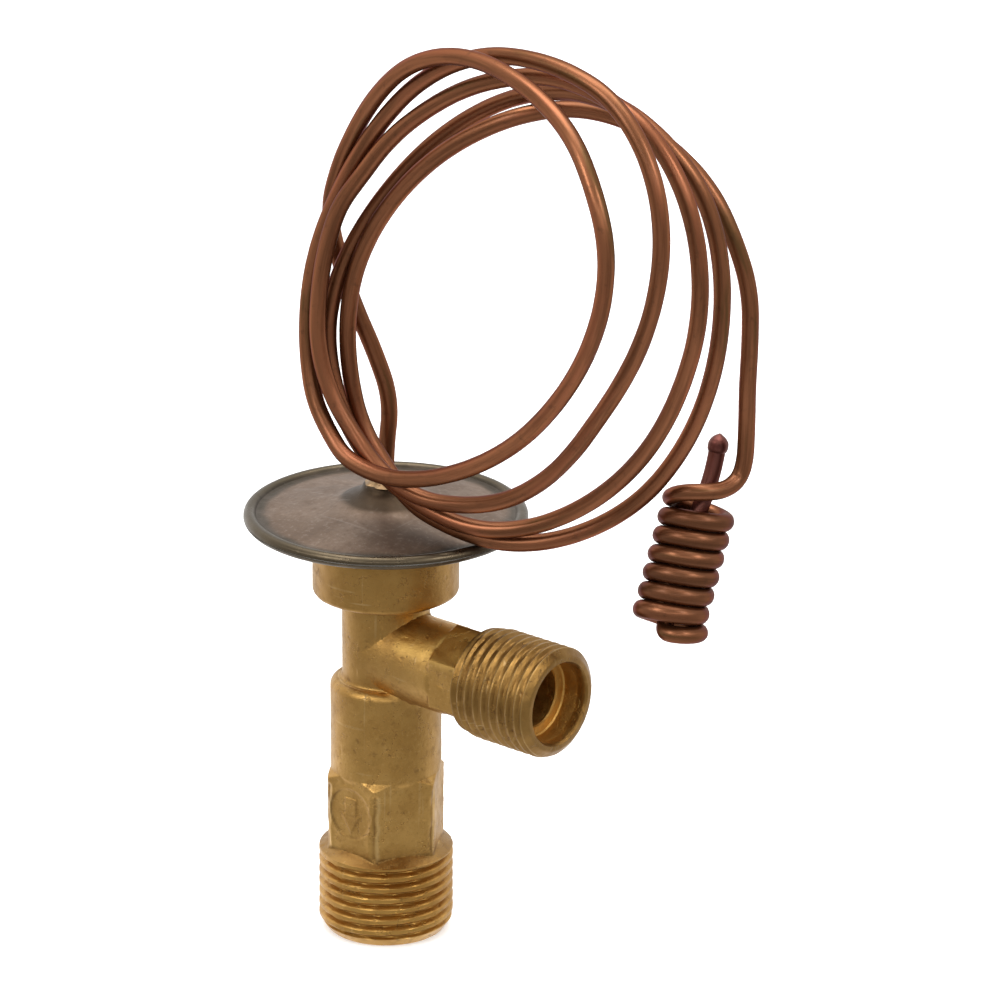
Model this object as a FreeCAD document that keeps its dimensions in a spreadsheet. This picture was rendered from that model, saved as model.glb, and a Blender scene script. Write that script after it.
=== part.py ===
import FreeCAD, Part
import math
import os
import re
from FreeCAD import Vector, Placement, Rotation

# Thermostatic expansion valve, angle pattern, internally equalised.
# Frame: +Z up along the valve's own axis, z = 0 at the outlet's end face,
# +X along the inlet branch.  Millimetres.

os.makedirs("parts", exist_ok=True)
doc = FreeCAD.newDocument("expansion_valve")
sheet = doc.addObject("Spreadsheet::Sheet", "Dims")
DIM = {}
ROW = [1]


def dims(*pairs):
    for alias, value in pairs:
        cell = "A%d" % ROW[0]
        sheet.set(cell, "%s" % value)
        sheet.setAlias(cell, alias)
        DIM[alias] = float(value)
        ROW[0] += 1


# outlet end: 3/4-16 external thread, plain at its major diameter here
dims(("outlet_major", 9.525), ("outlet_tip", 8.45), ("outlet_tip_z", 1.9),
     ("thread_top_z", 11.85), ("hex_low_z", 13.1),
     ("outlet_mouth", 6.9), ("outlet_mouth_in", 6.35), ("outlet_mouth_z", 0.6))
# forged body
dims(("hex_corner", 8.75), ("hex_bot_z", 12.34), ("hex_top_z", 23.3),
     ("body_rad", 7.78), ("hex_end_z", 24.25), ("shoulder_z", 37.7),
     ("neck_rad", 6.15), ("collar_bot_z", 50.45), ("collar_top_z", 58.5),
     ("collar_rad", 10.22), ("shoulder_round", 1.1), ("collar_round", 0.8))
# inlet branch, 5/8-18 external thread at its major diameter
dims(("arm_z", 41.75), ("arm_root", 6.25), ("arm_hex_from", 12.7),
     ("arm_hex_to", 17.7), ("arm_hex_corner", 6.99), ("inlet_major", 7.9375),
     ("inlet_cham", 30.0), ("inlet_face", 31.5), ("inlet_lip", 6.2),
     ("inlet_seat", 5.36), ("inlet_seat_x", 30.7), ("inlet_step_x", 27.3),
     ("inlet_bore", 4.3))
# passages inside the body
dims(("chamber_rad", 5.9), ("chamber_top_z", 33.4), ("throat_rad", 4.3),
     ("throat_top_z", 36.6), ("orifice_rad", 1.75), ("seat_z", 36.6),
     ("gallery_z", 38.7), ("gallery_rad", 2.9), ("gallery_top_z", 46.2),
     ("rod_bore", 1.25), ("gland_z", 49.4), ("gland_rad", 3.0),
     ("head_floor_z", 53.2), ("head_bore", 7.02), ("vent_rad", 0.6),
     ("vent_off", 4.75), ("seal_groove_z", 57.05), ("seal_in", 7.9),
     ("seal_out", 9.5))
# power head
dims(("rim_rad", 18.83), ("rim_bead", 0.93), ("rim_z", 61.70),
     ("sheet_t", 0.52), ("dia_low", 61.50), ("dia_high", 61.64),
     ("spigot_rad", 7.0), ("spigot_bore", 4.4), ("spigot_low_z", 53.9),
     ("spigot_lip", 5.2), ("cup_floor_z", 58.56), ("cup_in_z", 59.36),
     ("boss_z", 66.5), ("tube_hole", 1.25))
# valve pin
dims(("rod_rad", 1.2), ("rod_top_z", 58.0), ("rod_bot_z", 37.31),
     ("ball_rad", 2.5), ("ball_z", 34.80), ("pad_rad", 9.0),
     ("pad_top_z", 60.62), ("pad_rim_z", 59.9), ("pad_hub", 2.6))
# superheat spring and adjuster
dims(("spring_mean", 3.55), ("spring_wire", 0.9), ("spring_top_z", 32.2),
     ("spring_bot_z", 21.3), ("nut_top_z", 20.0), ("nut_bot_z", 15.8),
     ("nut_rad", 5.86), ("key_flat", 5.0))
# sealed charge tube
dims(("tube_rad", 1.19), ("tube_bore", 0.5), ("braze_rad", 3.25),
     ("braze_top_z", 68.1), ("bead_rad", 1.46))

WORD = re.compile(r"[A-Za-z_]\w*")


def num(expr):
    # value of a sum of numbers and sheet names
    if not isinstance(expr, str):
        return float(expr)
    total, sign = 0.0, 1.0
    for tok in expr.replace("-", " - ").replace("+", " + ").split():
        if tok == "+":
            sign = 1.0
        elif tok == "-":
            sign = -1.0
        else:
            term = 1.0
            for f in tok.split("*"):
                term *= DIM[f] if f in DIM else float(f)
            total += sign * term
    return total


def ref(expr):
    if not isinstance(expr, str):
        return "%r" % float(expr)
    return WORD.sub(lambda m: "Dims." + m.group(0), expr)


def bind(obj, **props):
    for prop, expr in props.items():
        prop = prop.replace("__", ".")
        if isinstance(expr, str):
            obj.setExpression(prop, ref(expr))
        else:
            setattr(obj, prop, expr)
    return obj


def plane_of(body, role):
    for feat in body.Origin.OriginFeatures:
        if feat.Role == role:
            return feat
    raise RuntimeError(role)


def profile(sk, pts):
    # closed outline through pts; a point is (a, b) or (a, b, radius, side):
    # the edge that ends there is then an arc of that radius, bulging to side
    n = len(pts)
    v = [Vector(num(p[0]), num(p[1]), 0) for p in pts]
    for i in range(n):
        a, b = v[i - 1], v[i]
        if len(pts[i]) > 2:
            rad, side = num(pts[i][2]), pts[i][3]
            mid, d = (a + b) * 0.5, b - a
            half = d.Length / 2.0
            nrm = Vector(-d.y, d.x, 0).normalize() * side
            sag = rad - math.sqrt(max(rad * rad - half * half, 0.0))
            sk.addGeometry(Part.Arc(a, mid + nrm * sag, b), False)
        else:
            sk.addGeometry(Part.LineSegment(a, b), False)
    # arcs are stored turning left; one that turns right runs end to start
    pos_of = [(2, 1) if len(p) > 2 and p[3] > 0 else (1, 2) for p in pts]
    import Sketcher
    for i in range(n):
        j = (i + 1) % n
        sk.addConstraint(Sketcher.Constraint("Coincident", i, pos_of[i][1], j, pos_of[j][0]))
    for i in range(n):
        pos = pos_of[i][1]
        for axis, k in (("DistanceX", 0), ("DistanceY", 1)):
            value = num(pts[i][k])
            if abs(value) < 1e-9:
                sk.addConstraint(Sketcher.Constraint("PointOnObject", i, pos, -2 if k == 0 else -1))
                continue
            c = sk.addConstraint(Sketcher.Constraint(axis, -1, 1, i, pos, value))
            if isinstance(pts[i][k], str):
                sk.setExpression("Constraints[%d]" % c, ref(pts[i][k]))
        if len(pts[i]) > 2:
            c = sk.addConstraint(Sketcher.Constraint("Radius", i, num(pts[i][2])))
            if isinstance(pts[i][2], str):
                sk.setExpression("Constraints[%d]" % c, ref(pts[i][2]))


def turned(label, pts, axis="Z", lift=None):
    # a body revolved from an outline of (radius, height), or of
    # (distance along X, radius) when its axis is X
    body = doc.addObject("PartDesign::Body", label)
    sk = body.newObject("Sketcher::SketchObject", label + "_outline")
    sk.AttachmentSupport = [(plane_of(body, "XZ_Plane"), "")]
    sk.MapMode = "FlatFace"
    profile(sk, pts)
    rev = body.newObject("PartDesign::Revolution", label + "_turned")
    rev.Profile = sk
    rev.ReferenceAxis = (sk, ["V_Axis" if axis == "Z" else "H_Axis"])
    rev.Angle = 360.0
    sk.Visibility = False
    if lift:
        body.setExpression("Placement.Base.z", ref(lift))
    doc.recompute()
    return body


def cylinder(label, rad, z0, z1, x=0.0):
    o = doc.addObject("Part::Cylinder", label)
    bind(o, Radius=rad, Height="%s - %s" % (z1, z0))
    o.setExpression("Placement.Base.z", ref(z0))
    if x:
        o.setExpression("Placement.Base.x", ref(x))
    return o


def fuse(label, *objs):
    o = doc.addObject("Part::MultiFuse", label)
    o.Shapes = list(objs)
    o.Refine = True
    return o


def cut(label, base, tool):
    o = doc.addObject("Part::Cut", label)
    o.Base, o.Tool = base, tool
    o.Refine = True
    return o


def common(label, a, b):
    o = doc.addObject("Part::Common", label)
    o.Base, o.Tool = a, b
    return o


def prism(label, corner, z0, z1, sides=6):
    o = doc.addObject("Part::Prism", label)
    o.Polygon = sides
    bind(o, Circumradius=corner, Height="%s - %s" % (z1, z0))
    o.setExpression("Placement.Base.z", ref(z0))
    return o


def seek(shape, test):
    return [i + 1 for i, e in enumerate(shape.Edges) if test(e)]


def fillet(label, base, groups):
    doc.recompute()
    o = doc.addObject("Part::Fillet", label)
    o.Base = base
    edges = []
    for test, rad in groups:
        found = seek(base.Shape, test)
        print(label, "edges", len(found), "radius", rad)
        edges += [(i, rad, rad) for i in found]
    o.Edges = edges
    return o

# ------------------------------------------------------------ valve body
# main forging turned about Z: outlet thread, shoulder, barrel, neck, collar
core = turned("body_core", [
    (0, 0), ("outlet_tip", 0), ("outlet_major", "outlet_tip_z"),
    ("outlet_major", "thread_top_z"), ("body_rad - 0.2", "hex_low_z"),
    ("body_rad", "hex_low_z + 0.15"),
    ("body_rad", "shoulder_z - shoulder_round"),
    ("body_rad - shoulder_round", "shoulder_z", "shoulder_round", -1),
    ("neck_rad + 0.45", "shoulder_z"), ("neck_rad", "shoulder_z + 0.45", 0.45, 1),
    ("neck_rad", "collar_bot_z - 0.6"),
    ("neck_rad + 0.6", "collar_bot_z", 0.6, 1),
    ("collar_rad - collar_round", "collar_bot_z"),
    ("collar_rad", "collar_bot_z + collar_round", "collar_round", -1),
    ("collar_rad", "collar_top_z - 0.3"), ("collar_rad - 0.3", "collar_top_z"),
    (0, "collar_top_z")])

# wrench hexagon on the barrel, corners worn round, chamfered top and foot
hexa = prism("body_hex_raw", "body_rad*1.1547", "hex_bot_z", "hex_end_z + 0.6")
hex_env = turned("body_hex_env", [
    (0, "hex_bot_z - 0.2"), ("outlet_major - 0.3", "hex_bot_z - 0.2"),
    ("outlet_major - 0.3", "hex_bot_z - 0.05"), ("hex_corner + 0.02", "hex_bot_z + 0.25"),
    ("hex_corner + 0.02", "hex_top_z"), ("body_rad - 0.1", "hex_end_z + 0.1"),
    (0, "hex_end_z + 0.1")])
hexc = common("body_hex", hexa, hex_env)

# inlet branch along +X
arm = turned("branch_core", [
    (0, 0), (0, "arm_root"), ("arm_hex_from", "arm_root"),
    ("arm_hex_from + 0.7", "arm_root - 0.6"), ("arm_hex_to + 0.02", "arm_root - 0.6"),
    ("arm_hex_to + 0.02", "arm_root + 0.65"), ("arm_hex_to + 0.75", "inlet_major"),
    ("inlet_cham", "inlet_major"), ("inlet_face", "inlet_lip"),
    ("inlet_face", 0)], axis="X", lift="arm_z")
arm_hex = doc.addObject("Part::Prism", "branch_hex_raw")
arm_hex.Polygon = 6
bind(arm_hex, Circumradius="arm_hex_corner", Height="arm_hex_to - arm_hex_from + 0.25")
arm_hex.Placement = Placement(Vector(0, 0, 0), Rotation(Vector(0, 1, 0), 90))
arm_hex.setExpression("Placement.Base.x", ref("arm_hex_from - 0.2"))
arm_hex.setExpression("Placement.Base.z", ref("arm_z"))
arm_env = turned("branch_hex_env", [
    ("arm_hex_from - 0.3", 0), ("arm_hex_from - 0.3", "arm_root - 0.25"),
    ("arm_hex_from + 0.35", "arm_hex_corner - 0.08"),
    ("arm_hex_to + 0.1", "arm_hex_corner - 0.08"), ("arm_hex_to + 0.1", 0)],
    axis="X", lift="arm_z")
arm_hexc = common("branch_hex", arm_hex, arm_env)
outer = fuse("body_outer", core, hexc, arm, arm_hexc)

# passages: outlet mouth and spring chamber, throat, orifice, inlet gallery,
# rod bore, gland, head recess; the side bore with its stepped seat; the
# equalising drilling; the groove for the head seal; the round recess for
# the flow mark
bore = turned("body_bores", [
    (0, -1), ("outlet_mouth", -1), ("outlet_mouth", 0),
    ("outlet_mouth_in", "outlet_mouth_z"), ("outlet_mouth_in", 13.6),
    ("chamber_rad", 14.05), ("chamber_rad", "chamber_top_z - 0.8"),
    ("chamber_rad - 0.8", "chamber_top_z"), ("throat_rad", "chamber_top_z"),
    ("throat_rad", "throat_top_z - 0.9"), ("throat_rad - 0.9", "throat_top_z"),
    ("orifice_rad + 0.12", "seat_z"), ("orifice_rad", "seat_z + 0.12"),
    ("orifice_rad", "gallery_z - 0.5"), ("orifice_rad + 0.5", "gallery_z"),
    ("gallery_rad", "gallery_z"), ("gallery_rad", "gallery_top_z"),
    ("rod_bore", "gallery_top_z"), ("rod_bore", "gland_z"),
    ("gland_rad", "gland_z"), ("gland_rad", "head_floor_z"),
    ("head_bore", "head_floor_z"), ("head_bore", "collar_top_z + 1"),
    (0, "collar_top_z + 1")])
side = turned("branch_bores", [
    (0, 0), (0, "gallery_rad - 0.1"), (9.0, "gallery_rad - 0.1"),
    (9.9, "inlet_bore"), ("inlet_step_x", "inlet_bore"),
    ("inlet_step_x", "inlet_seat"), ("inlet_seat_x", "inlet_seat"),
    ("inlet_face", "inlet_lip - 0.03"), ("inlet_face + 1", "inlet_lip - 0.03"),
    ("inlet_face + 1", 0)], axis="X", lift="arm_z")
vent = cylinder("body_vent", "vent_rad", "chamber_top_z - 1.5", "head_floor_z + 0.5", x="0 - vent_off")
groove = turned("seal_groove", [
    ("seal_in", "seal_groove_z"), ("seal_out", "seal_groove_z"),
    ("seal_out", "collar_top_z + 1"), ("seal_in", "collar_top_z + 1")])
mark = doc.addObject("Part::Cylinder", "mark_recess")
bind(mark, Radius=3.25, Height=2.0)
mark.Placement = Placement(Vector(-0.6, 0, 18.8), Rotation(Vector(1, 0, 0), 90))
mark.setExpression("Placement.Base.y", ref("0 - body_rad + 0.22"))
voids = fuse("body_voids", bore, side, vent, groove, mark)
body = cut("valve_body", outer, voids)

# ------------------------------------------------------------- power head
lower_cup = turned("lower_cup", [
    ("spigot_lip + 0.02", "cup_floor_z"), (12.8, "cup_floor_z"),
    (16.1, "rim_z - 0.70"), (18.218, "rim_z - 0.70"),
    (19.738, "dia_low", "rim_bead", -1), (15.9, "dia_low"),
    (12.4, "cup_in_z"), ("spigot_lip + 0.02", "cup_in_z")])
upper_cap = turned("upper_cap", [
    ("tube_hole", "boss_z"), (2.75, "boss_z"), (3.25, "boss_z - 0.5", 0.5, 1),
    (6.6, 63.95, 7.0, -1), (7.25, 63.78), (7.75, 63.72), (8.0, 63.42),
    (10.2, 63.19), (12.4, 62.88), (14.5, 62.54), (16.6, 62.12), (17.25, 62.03), (17.987, 62.093),
    (19.758, "dia_high", "rim_bead", 1), (15.6, "dia_high"), (12.2, 62.25),
    (8.15, 62.78), (6.7, 63.25), (2.9, 65.4), ("tube_hole", 65.75)])
diaphragm = turned("diaphragm", [
    (0, "pad_top_z"), (9.2, "pad_top_z"), (10.6, "pad_top_z + 0.34"),
    (12.0, "pad_top_z + 0.14"), (13.6, "pad_top_z + 0.56"), (15.7, "dia_low"),
    (19.6, "dia_low"), (19.6, "dia_high"), (15.6, "dia_high"),
    (13.5, "pad_top_z + 0.71"), (12.0, "pad_top_z + 0.29"),
    (10.6, "pad_top_z + 0.49"), (9.15, "pad_top_z + 0.14"), (0, "pad_top_z + 0.14")])
head_spigot = turned("head_spigot", [
    ("spigot_bore", "spigot_low_z"), ("spigot_rad - 0.5", "spigot_low_z"),
    ("spigot_rad", "spigot_low_z + 0.5"), ("spigot_rad", "cup_floor_z"),
    ("spigot_lip", "cup_floor_z"), ("spigot_lip", "cup_in_z"),
    ("spigot_bore", "cup_in_z")])


def ring(label, mean, section, z):
    o = doc.addObject("Part::Torus", label)
    bind(o, Radius1=mean, Radius2=section)
    o.setExpression("Placement.Base.z", ref(z))
    return o


head_seal = ring("head_seal", "0.5*seal_in + 0.5*seal_out", 0.74, "seal_groove_z + 0.76")
braze = turned("braze_fillet", [
    ("tube_rad + 0.04", "boss_z"), ("braze_rad - 0.35", "boss_z"),
    ("braze_rad - 0.6", "boss_z + 0.3"), ("tube_rad + 0.5", "braze_top_z - 0.75", 2.4, -1),
    ("tube_rad + 0.04", "braze_top_z")])

# ---------------------------------------------------- valve pin and its guide
thrust_pad = turned("thrust_pad", [
    (0, "rod_top_z"), ("pad_hub", "rod_top_z"), ("pad_hub", "pad_rim_z + 0.15"),
    ("pad_rad - 0.3", "pad_rim_z + 0.15"), ("pad_rad", "pad_rim_z + 0.45"),
    ("pad_rad", "pad_top_z - 0.12"), ("pad_rad - 0.12", "pad_top_z - 0.01"),
    (0, "pad_top_z - 0.01")])
push_rod = turned("push_rod", [
    (0, "rod_bot_z"), ("rod_rad - 0.3", "rod_bot_z"), ("rod_rad", "rod_bot_z + 0.3"),
    ("rod_rad", "rod_top_z - 0.3"), ("rod_rad - 0.3", "rod_top_z"), (0, "rod_top_z")])
rod_guide = turned("rod_guide", [
    ("rod_bore", "gland_z + 1.8"), ("gland_rad - 0.02", "gland_z + 1.8"),
    ("gland_rad - 0.02", "head_floor_z"), ("gland_rad + 0.9", "head_floor_z"),
    ("gland_rad + 0.9", "head_floor_z + 0.8"), ("gland_rad + 0.7", "head_floor_z + 1.0"),
    ("rod_bore", "head_floor_z + 1.0")])
rod_oring = ring("rod_oring", "0.5*gland_rad + 0.5*rod_bore - 0.02", 0.85, "gland_z + 0.9")
valve_ball = doc.addObject("Part::Sphere", "valve_ball")
bind(valve_ball, Radius="ball_rad")
valve_ball.setExpression("Placement.Base.z", ref("ball_z"))
ball_carrier = turned("ball_carrier", [
    (0, 30.2), (2.5, 30.2), (2.95, 30.65), (2.95, "spring_top_z"),
    (4.5, "spring_top_z"), (4.5, "spring_top_z + 0.75"),
    (3.05, "spring_top_z + 0.75"), (2.9, "spring_top_z + 0.99"),
    (2.25, "spring_top_z + 0.99"), (0, "ball_z - 2.91")])

# ------------------------------------------------- superheat spring, adjuster
spring_seat = turned("spring_seat", [
    (1.6, "nut_top_z"), (4.7, "nut_top_z"), (4.7, "spring_bot_z"),
    (3.0, "spring_bot_z"), (3.0, "spring_bot_z + 1.0"), (2.7, "spring_bot_z + 1.3"),
    (1.6, "spring_bot_z + 1.3")])
nut = doc.addObject("PartDesign::Body", "adjusting_nut")
sk = nut.newObject("Sketcher::SketchObject", "adjusting_nut_outline")
sk.AttachmentSupport = [(plane_of(nut, "XZ_Plane"), "")]
sk.MapMode = "FlatFace"
profile(sk, [(0, "nut_bot_z"), ("nut_rad - 0.5", "nut_bot_z"),
             ("nut_rad", "nut_bot_z + 0.5"), ("nut_rad", "nut_top_z - 0.5"),
             ("nut_rad - 0.5", "nut_top_z"), (0, "nut_top_z")])
rev = nut.newObject("PartDesign::Revolution", "adjusting_nut_turned")
rev.Profile = sk
rev.ReferenceAxis = (sk, ["V_Axis"])
rev.Angle = 360.0
doc.recompute()


def through(body, label, geo):
    s = body.newObject("Sketcher::SketchObject", label + "_sketch")
    s.AttachmentSupport = [(plane_of(body, "XY_Plane"), "")]
    s.MapMode = "FlatFace"
    geo(s)
    doc.recompute()
    before = body.Tip.Shape.Volume
    p = body.newObject("PartDesign::Pocket", label)
    p.Profile = s
    p.Type = 1
    p.Midplane = True
    doc.recompute()
    print(label, "cut", round(before - p.Shape.Volume, 2), "mm3")
    return p


def hexkey(s):
    import Sketcher
    n = 6
    c = num("key_flat") / math.sqrt(3.0)
    pts = [Vector(c * math.cos(math.radians(60 * k)), c * math.sin(math.radians(60 * k)), 0) for k in range(n)]
    for k in range(n):
        s.addGeometry(Part.LineSegment(pts[k], pts[(k + 1) % n]), False)
    for k in range(n):
        s.addConstraint(Sketcher.Constraint("Coincident", k, 2, (k + 1) % n, 1))


def flowhole(s):
    import Sketcher
    s.addGeometry(Part.Circle(Vector(0, 4.3, 0), Vector(0, 0, 1), 0.95), False)
    s.addConstraint(Sketcher.Constraint("Radius", 0, 0.95))
    s.addConstraint(Sketcher.Constraint("PointOnObject", 0, 3, -2))
    s.addConstraint(Sketcher.Constraint("DistanceY", -1, 1, 0, 3, 4.3))


through(nut, "nut_key", hexkey)
hole = through(nut, "nut_port", flowhole)
pat = nut.newObject("PartDesign::PolarPattern", "nut_ports")
pat.Originals = [hole]
for feat in nut.Origin.OriginFeatures:
    if feat.Role == "Z_Axis":
        pat.Axis = (feat, [""])
pat.Angle = 360.0
pat.Occurrences = 4
nut.Tip = pat
doc.recompute()


# ------------------------------------------------------ formed wire and tube
def biarc(p0, t0, p1, t1):
    # two tangent arcs from p0 (direction t0) to p1 (direction t1)
    v, t = p1 - p0, t0 + t1
    den = 2.0 * (1.0 - t0.dot(t1))
    vt = v.dot(t)
    if abs(den) < 1e-9:
        d = v.dot(v) / (4.0 * v.dot(t1))
    else:
        d = (-vt + math.sqrt(vt * vt + den * v.dot(v))) / den
    return (p0 + p1 + (t0 - t1) * d) * 0.5


def swept(label, nodes, outer_r, inner_r=0.0):
    # round wire or tube: every arc of the centre line carries its section
    # round by turning it about the arc's own axis, so the section never
    # twists, and the pieces are sewn into one closed skin
    spans, length, rmin = [], 0.0, 1e9
    for (p0, t0), (p1, t1) in zip(nodes[:-1], nodes[1:]):
        if (p1 - p0).cross(t0).Length < 1e-6 and t0.cross(t1).Length < 1e-6:
            spans.append(("line", p1 - p0))
            length += (p1 - p0).Length
            continue
        j = biarc(p0, t0, p1, t1)
        for a, ta, b in ((p0, t0, j), (j, None, p1)):
            if ta is None:
                # the second arc runs from j and ends along t1
                chord = b - a
                u = Vector(chord).normalize()
                ta = u * (2.0 * u.dot(t1)) - t1
            chord = b - a
            u = Vector(chord).normalize()
            cosb = max(-1.0, min(1.0, ta.dot(u)))
            side = u - ta * cosb
            if side.Length < 1e-5:
                spans.append(("line", chord))
                length += chord.Length
                continue
            beta = math.atan2(side.Length, cosb)
            side.normalize()
            radius = chord.Length / 2.0 / math.sin(beta)
            spans.append(("arc", a + side * radius, ta.cross(side), 2.0 * beta))
            length += 2.0 * beta * radius
            rmin = min(rmin, radius)
    p0, t0 = nodes[0]
    skins = []
    for r in [outer_r] + ([inner_r] if inner_r else []):
        edge = Part.Circle(p0, t0, r).toShape()
        first = edge
        for span in spans:
            if span[0] == "line":
                face = edge.extrude(span[1])
                edge = edge.translated(span[1])
            else:
                face = edge.revolve(span[1], span[2], math.degrees(span[3]))
                edge = edge.rotated(span[1], span[2], math.degrees(span[3]))
            skins.append(face.Faces[0])
        if r == outer_r:
            caps = [[first], [edge]]
        else:
            caps[0].append(first)
            caps[1].append(edge)
    for loops in caps:
        wires = [Part.Wire([e]) for e in loops]
        if len(wires) > 1:
            wires[1].reverse()
        skins.append(Part.Face(wires))
    shell = Part.makeShell(skins)
    shell.sewShape()
    if shell.ShapeType != "Shell":
        shell = shell.Shells[0]
    shape = Part.makeSolid(shell)
    if shape.Volume < 0:
        shape.reverse()
    area = math.pi * (outer_r ** 2 - inner_r ** 2)
    print(label, "length %.1f" % length, "smallest radius %.2f" % rmin,
          "volume %.2f" % shape.Volume, "section x length %.2f" % (area * length),
          "valid", shape.isValid(), "closed", shell.isClosed(), "faces", len(shape.Faces))
    o = doc.addObject("Part::Feature", label)
    o.Shape = shape
    return o


# spring: close-wound end turns, five open turns between
def spring_nodes(mean, wire, z0, z1):
    lo, hi = z0 + wire / 2.0, z1 - wire / 2.0
    ends, mid = 1.0, 4.5
    pitch_end = wire + 0.04
    pitch_mid = (hi - lo - 2 * ends * pitch_end) / mid
    total = 2 * ends + mid

    def height(n):
        if n < ends:
            return lo + pitch_end * n
        if n > ends + mid:
            return hi - pitch_end * (total - n)
        return lo + pitch_end * ends + pitch_mid * (n - ends)

    def level(n):
        # running mean over half a turn rounds the change of pitch
        k = 12
        w = min(0.25, n, total - n)
        if w <= 0:
            return height(n)
        return sum(height(n - w + 2 * w * (i + 0.5) / k) for i in range(k)) / k

    out = []
    steps = int(total * 4)
    for i in range(steps + 1):
        n = total * i / steps
        a = 2 * math.pi * n
        dz = (level(min(n + 0.01, total)) - level(max(n - 0.01, 0.0))) / (min(n + 0.01, total) - max(n - 0.01, 0.0))
        tan = Vector(-math.sin(a) * mean * 2 * math.pi, math.cos(a) * mean * 2 * math.pi, dz).normalize()
        out.append((Vector(mean * math.cos(a), mean * math.sin(a), level(n)), tan))
    return out


spring = swept("superheat_spring", spring_nodes(DIM["spring_mean"], DIM["spring_wire"],
                                                DIM["spring_bot_z"], DIM["spring_top_z"]),
               DIM["spring_wire"] / 2.0)

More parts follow.
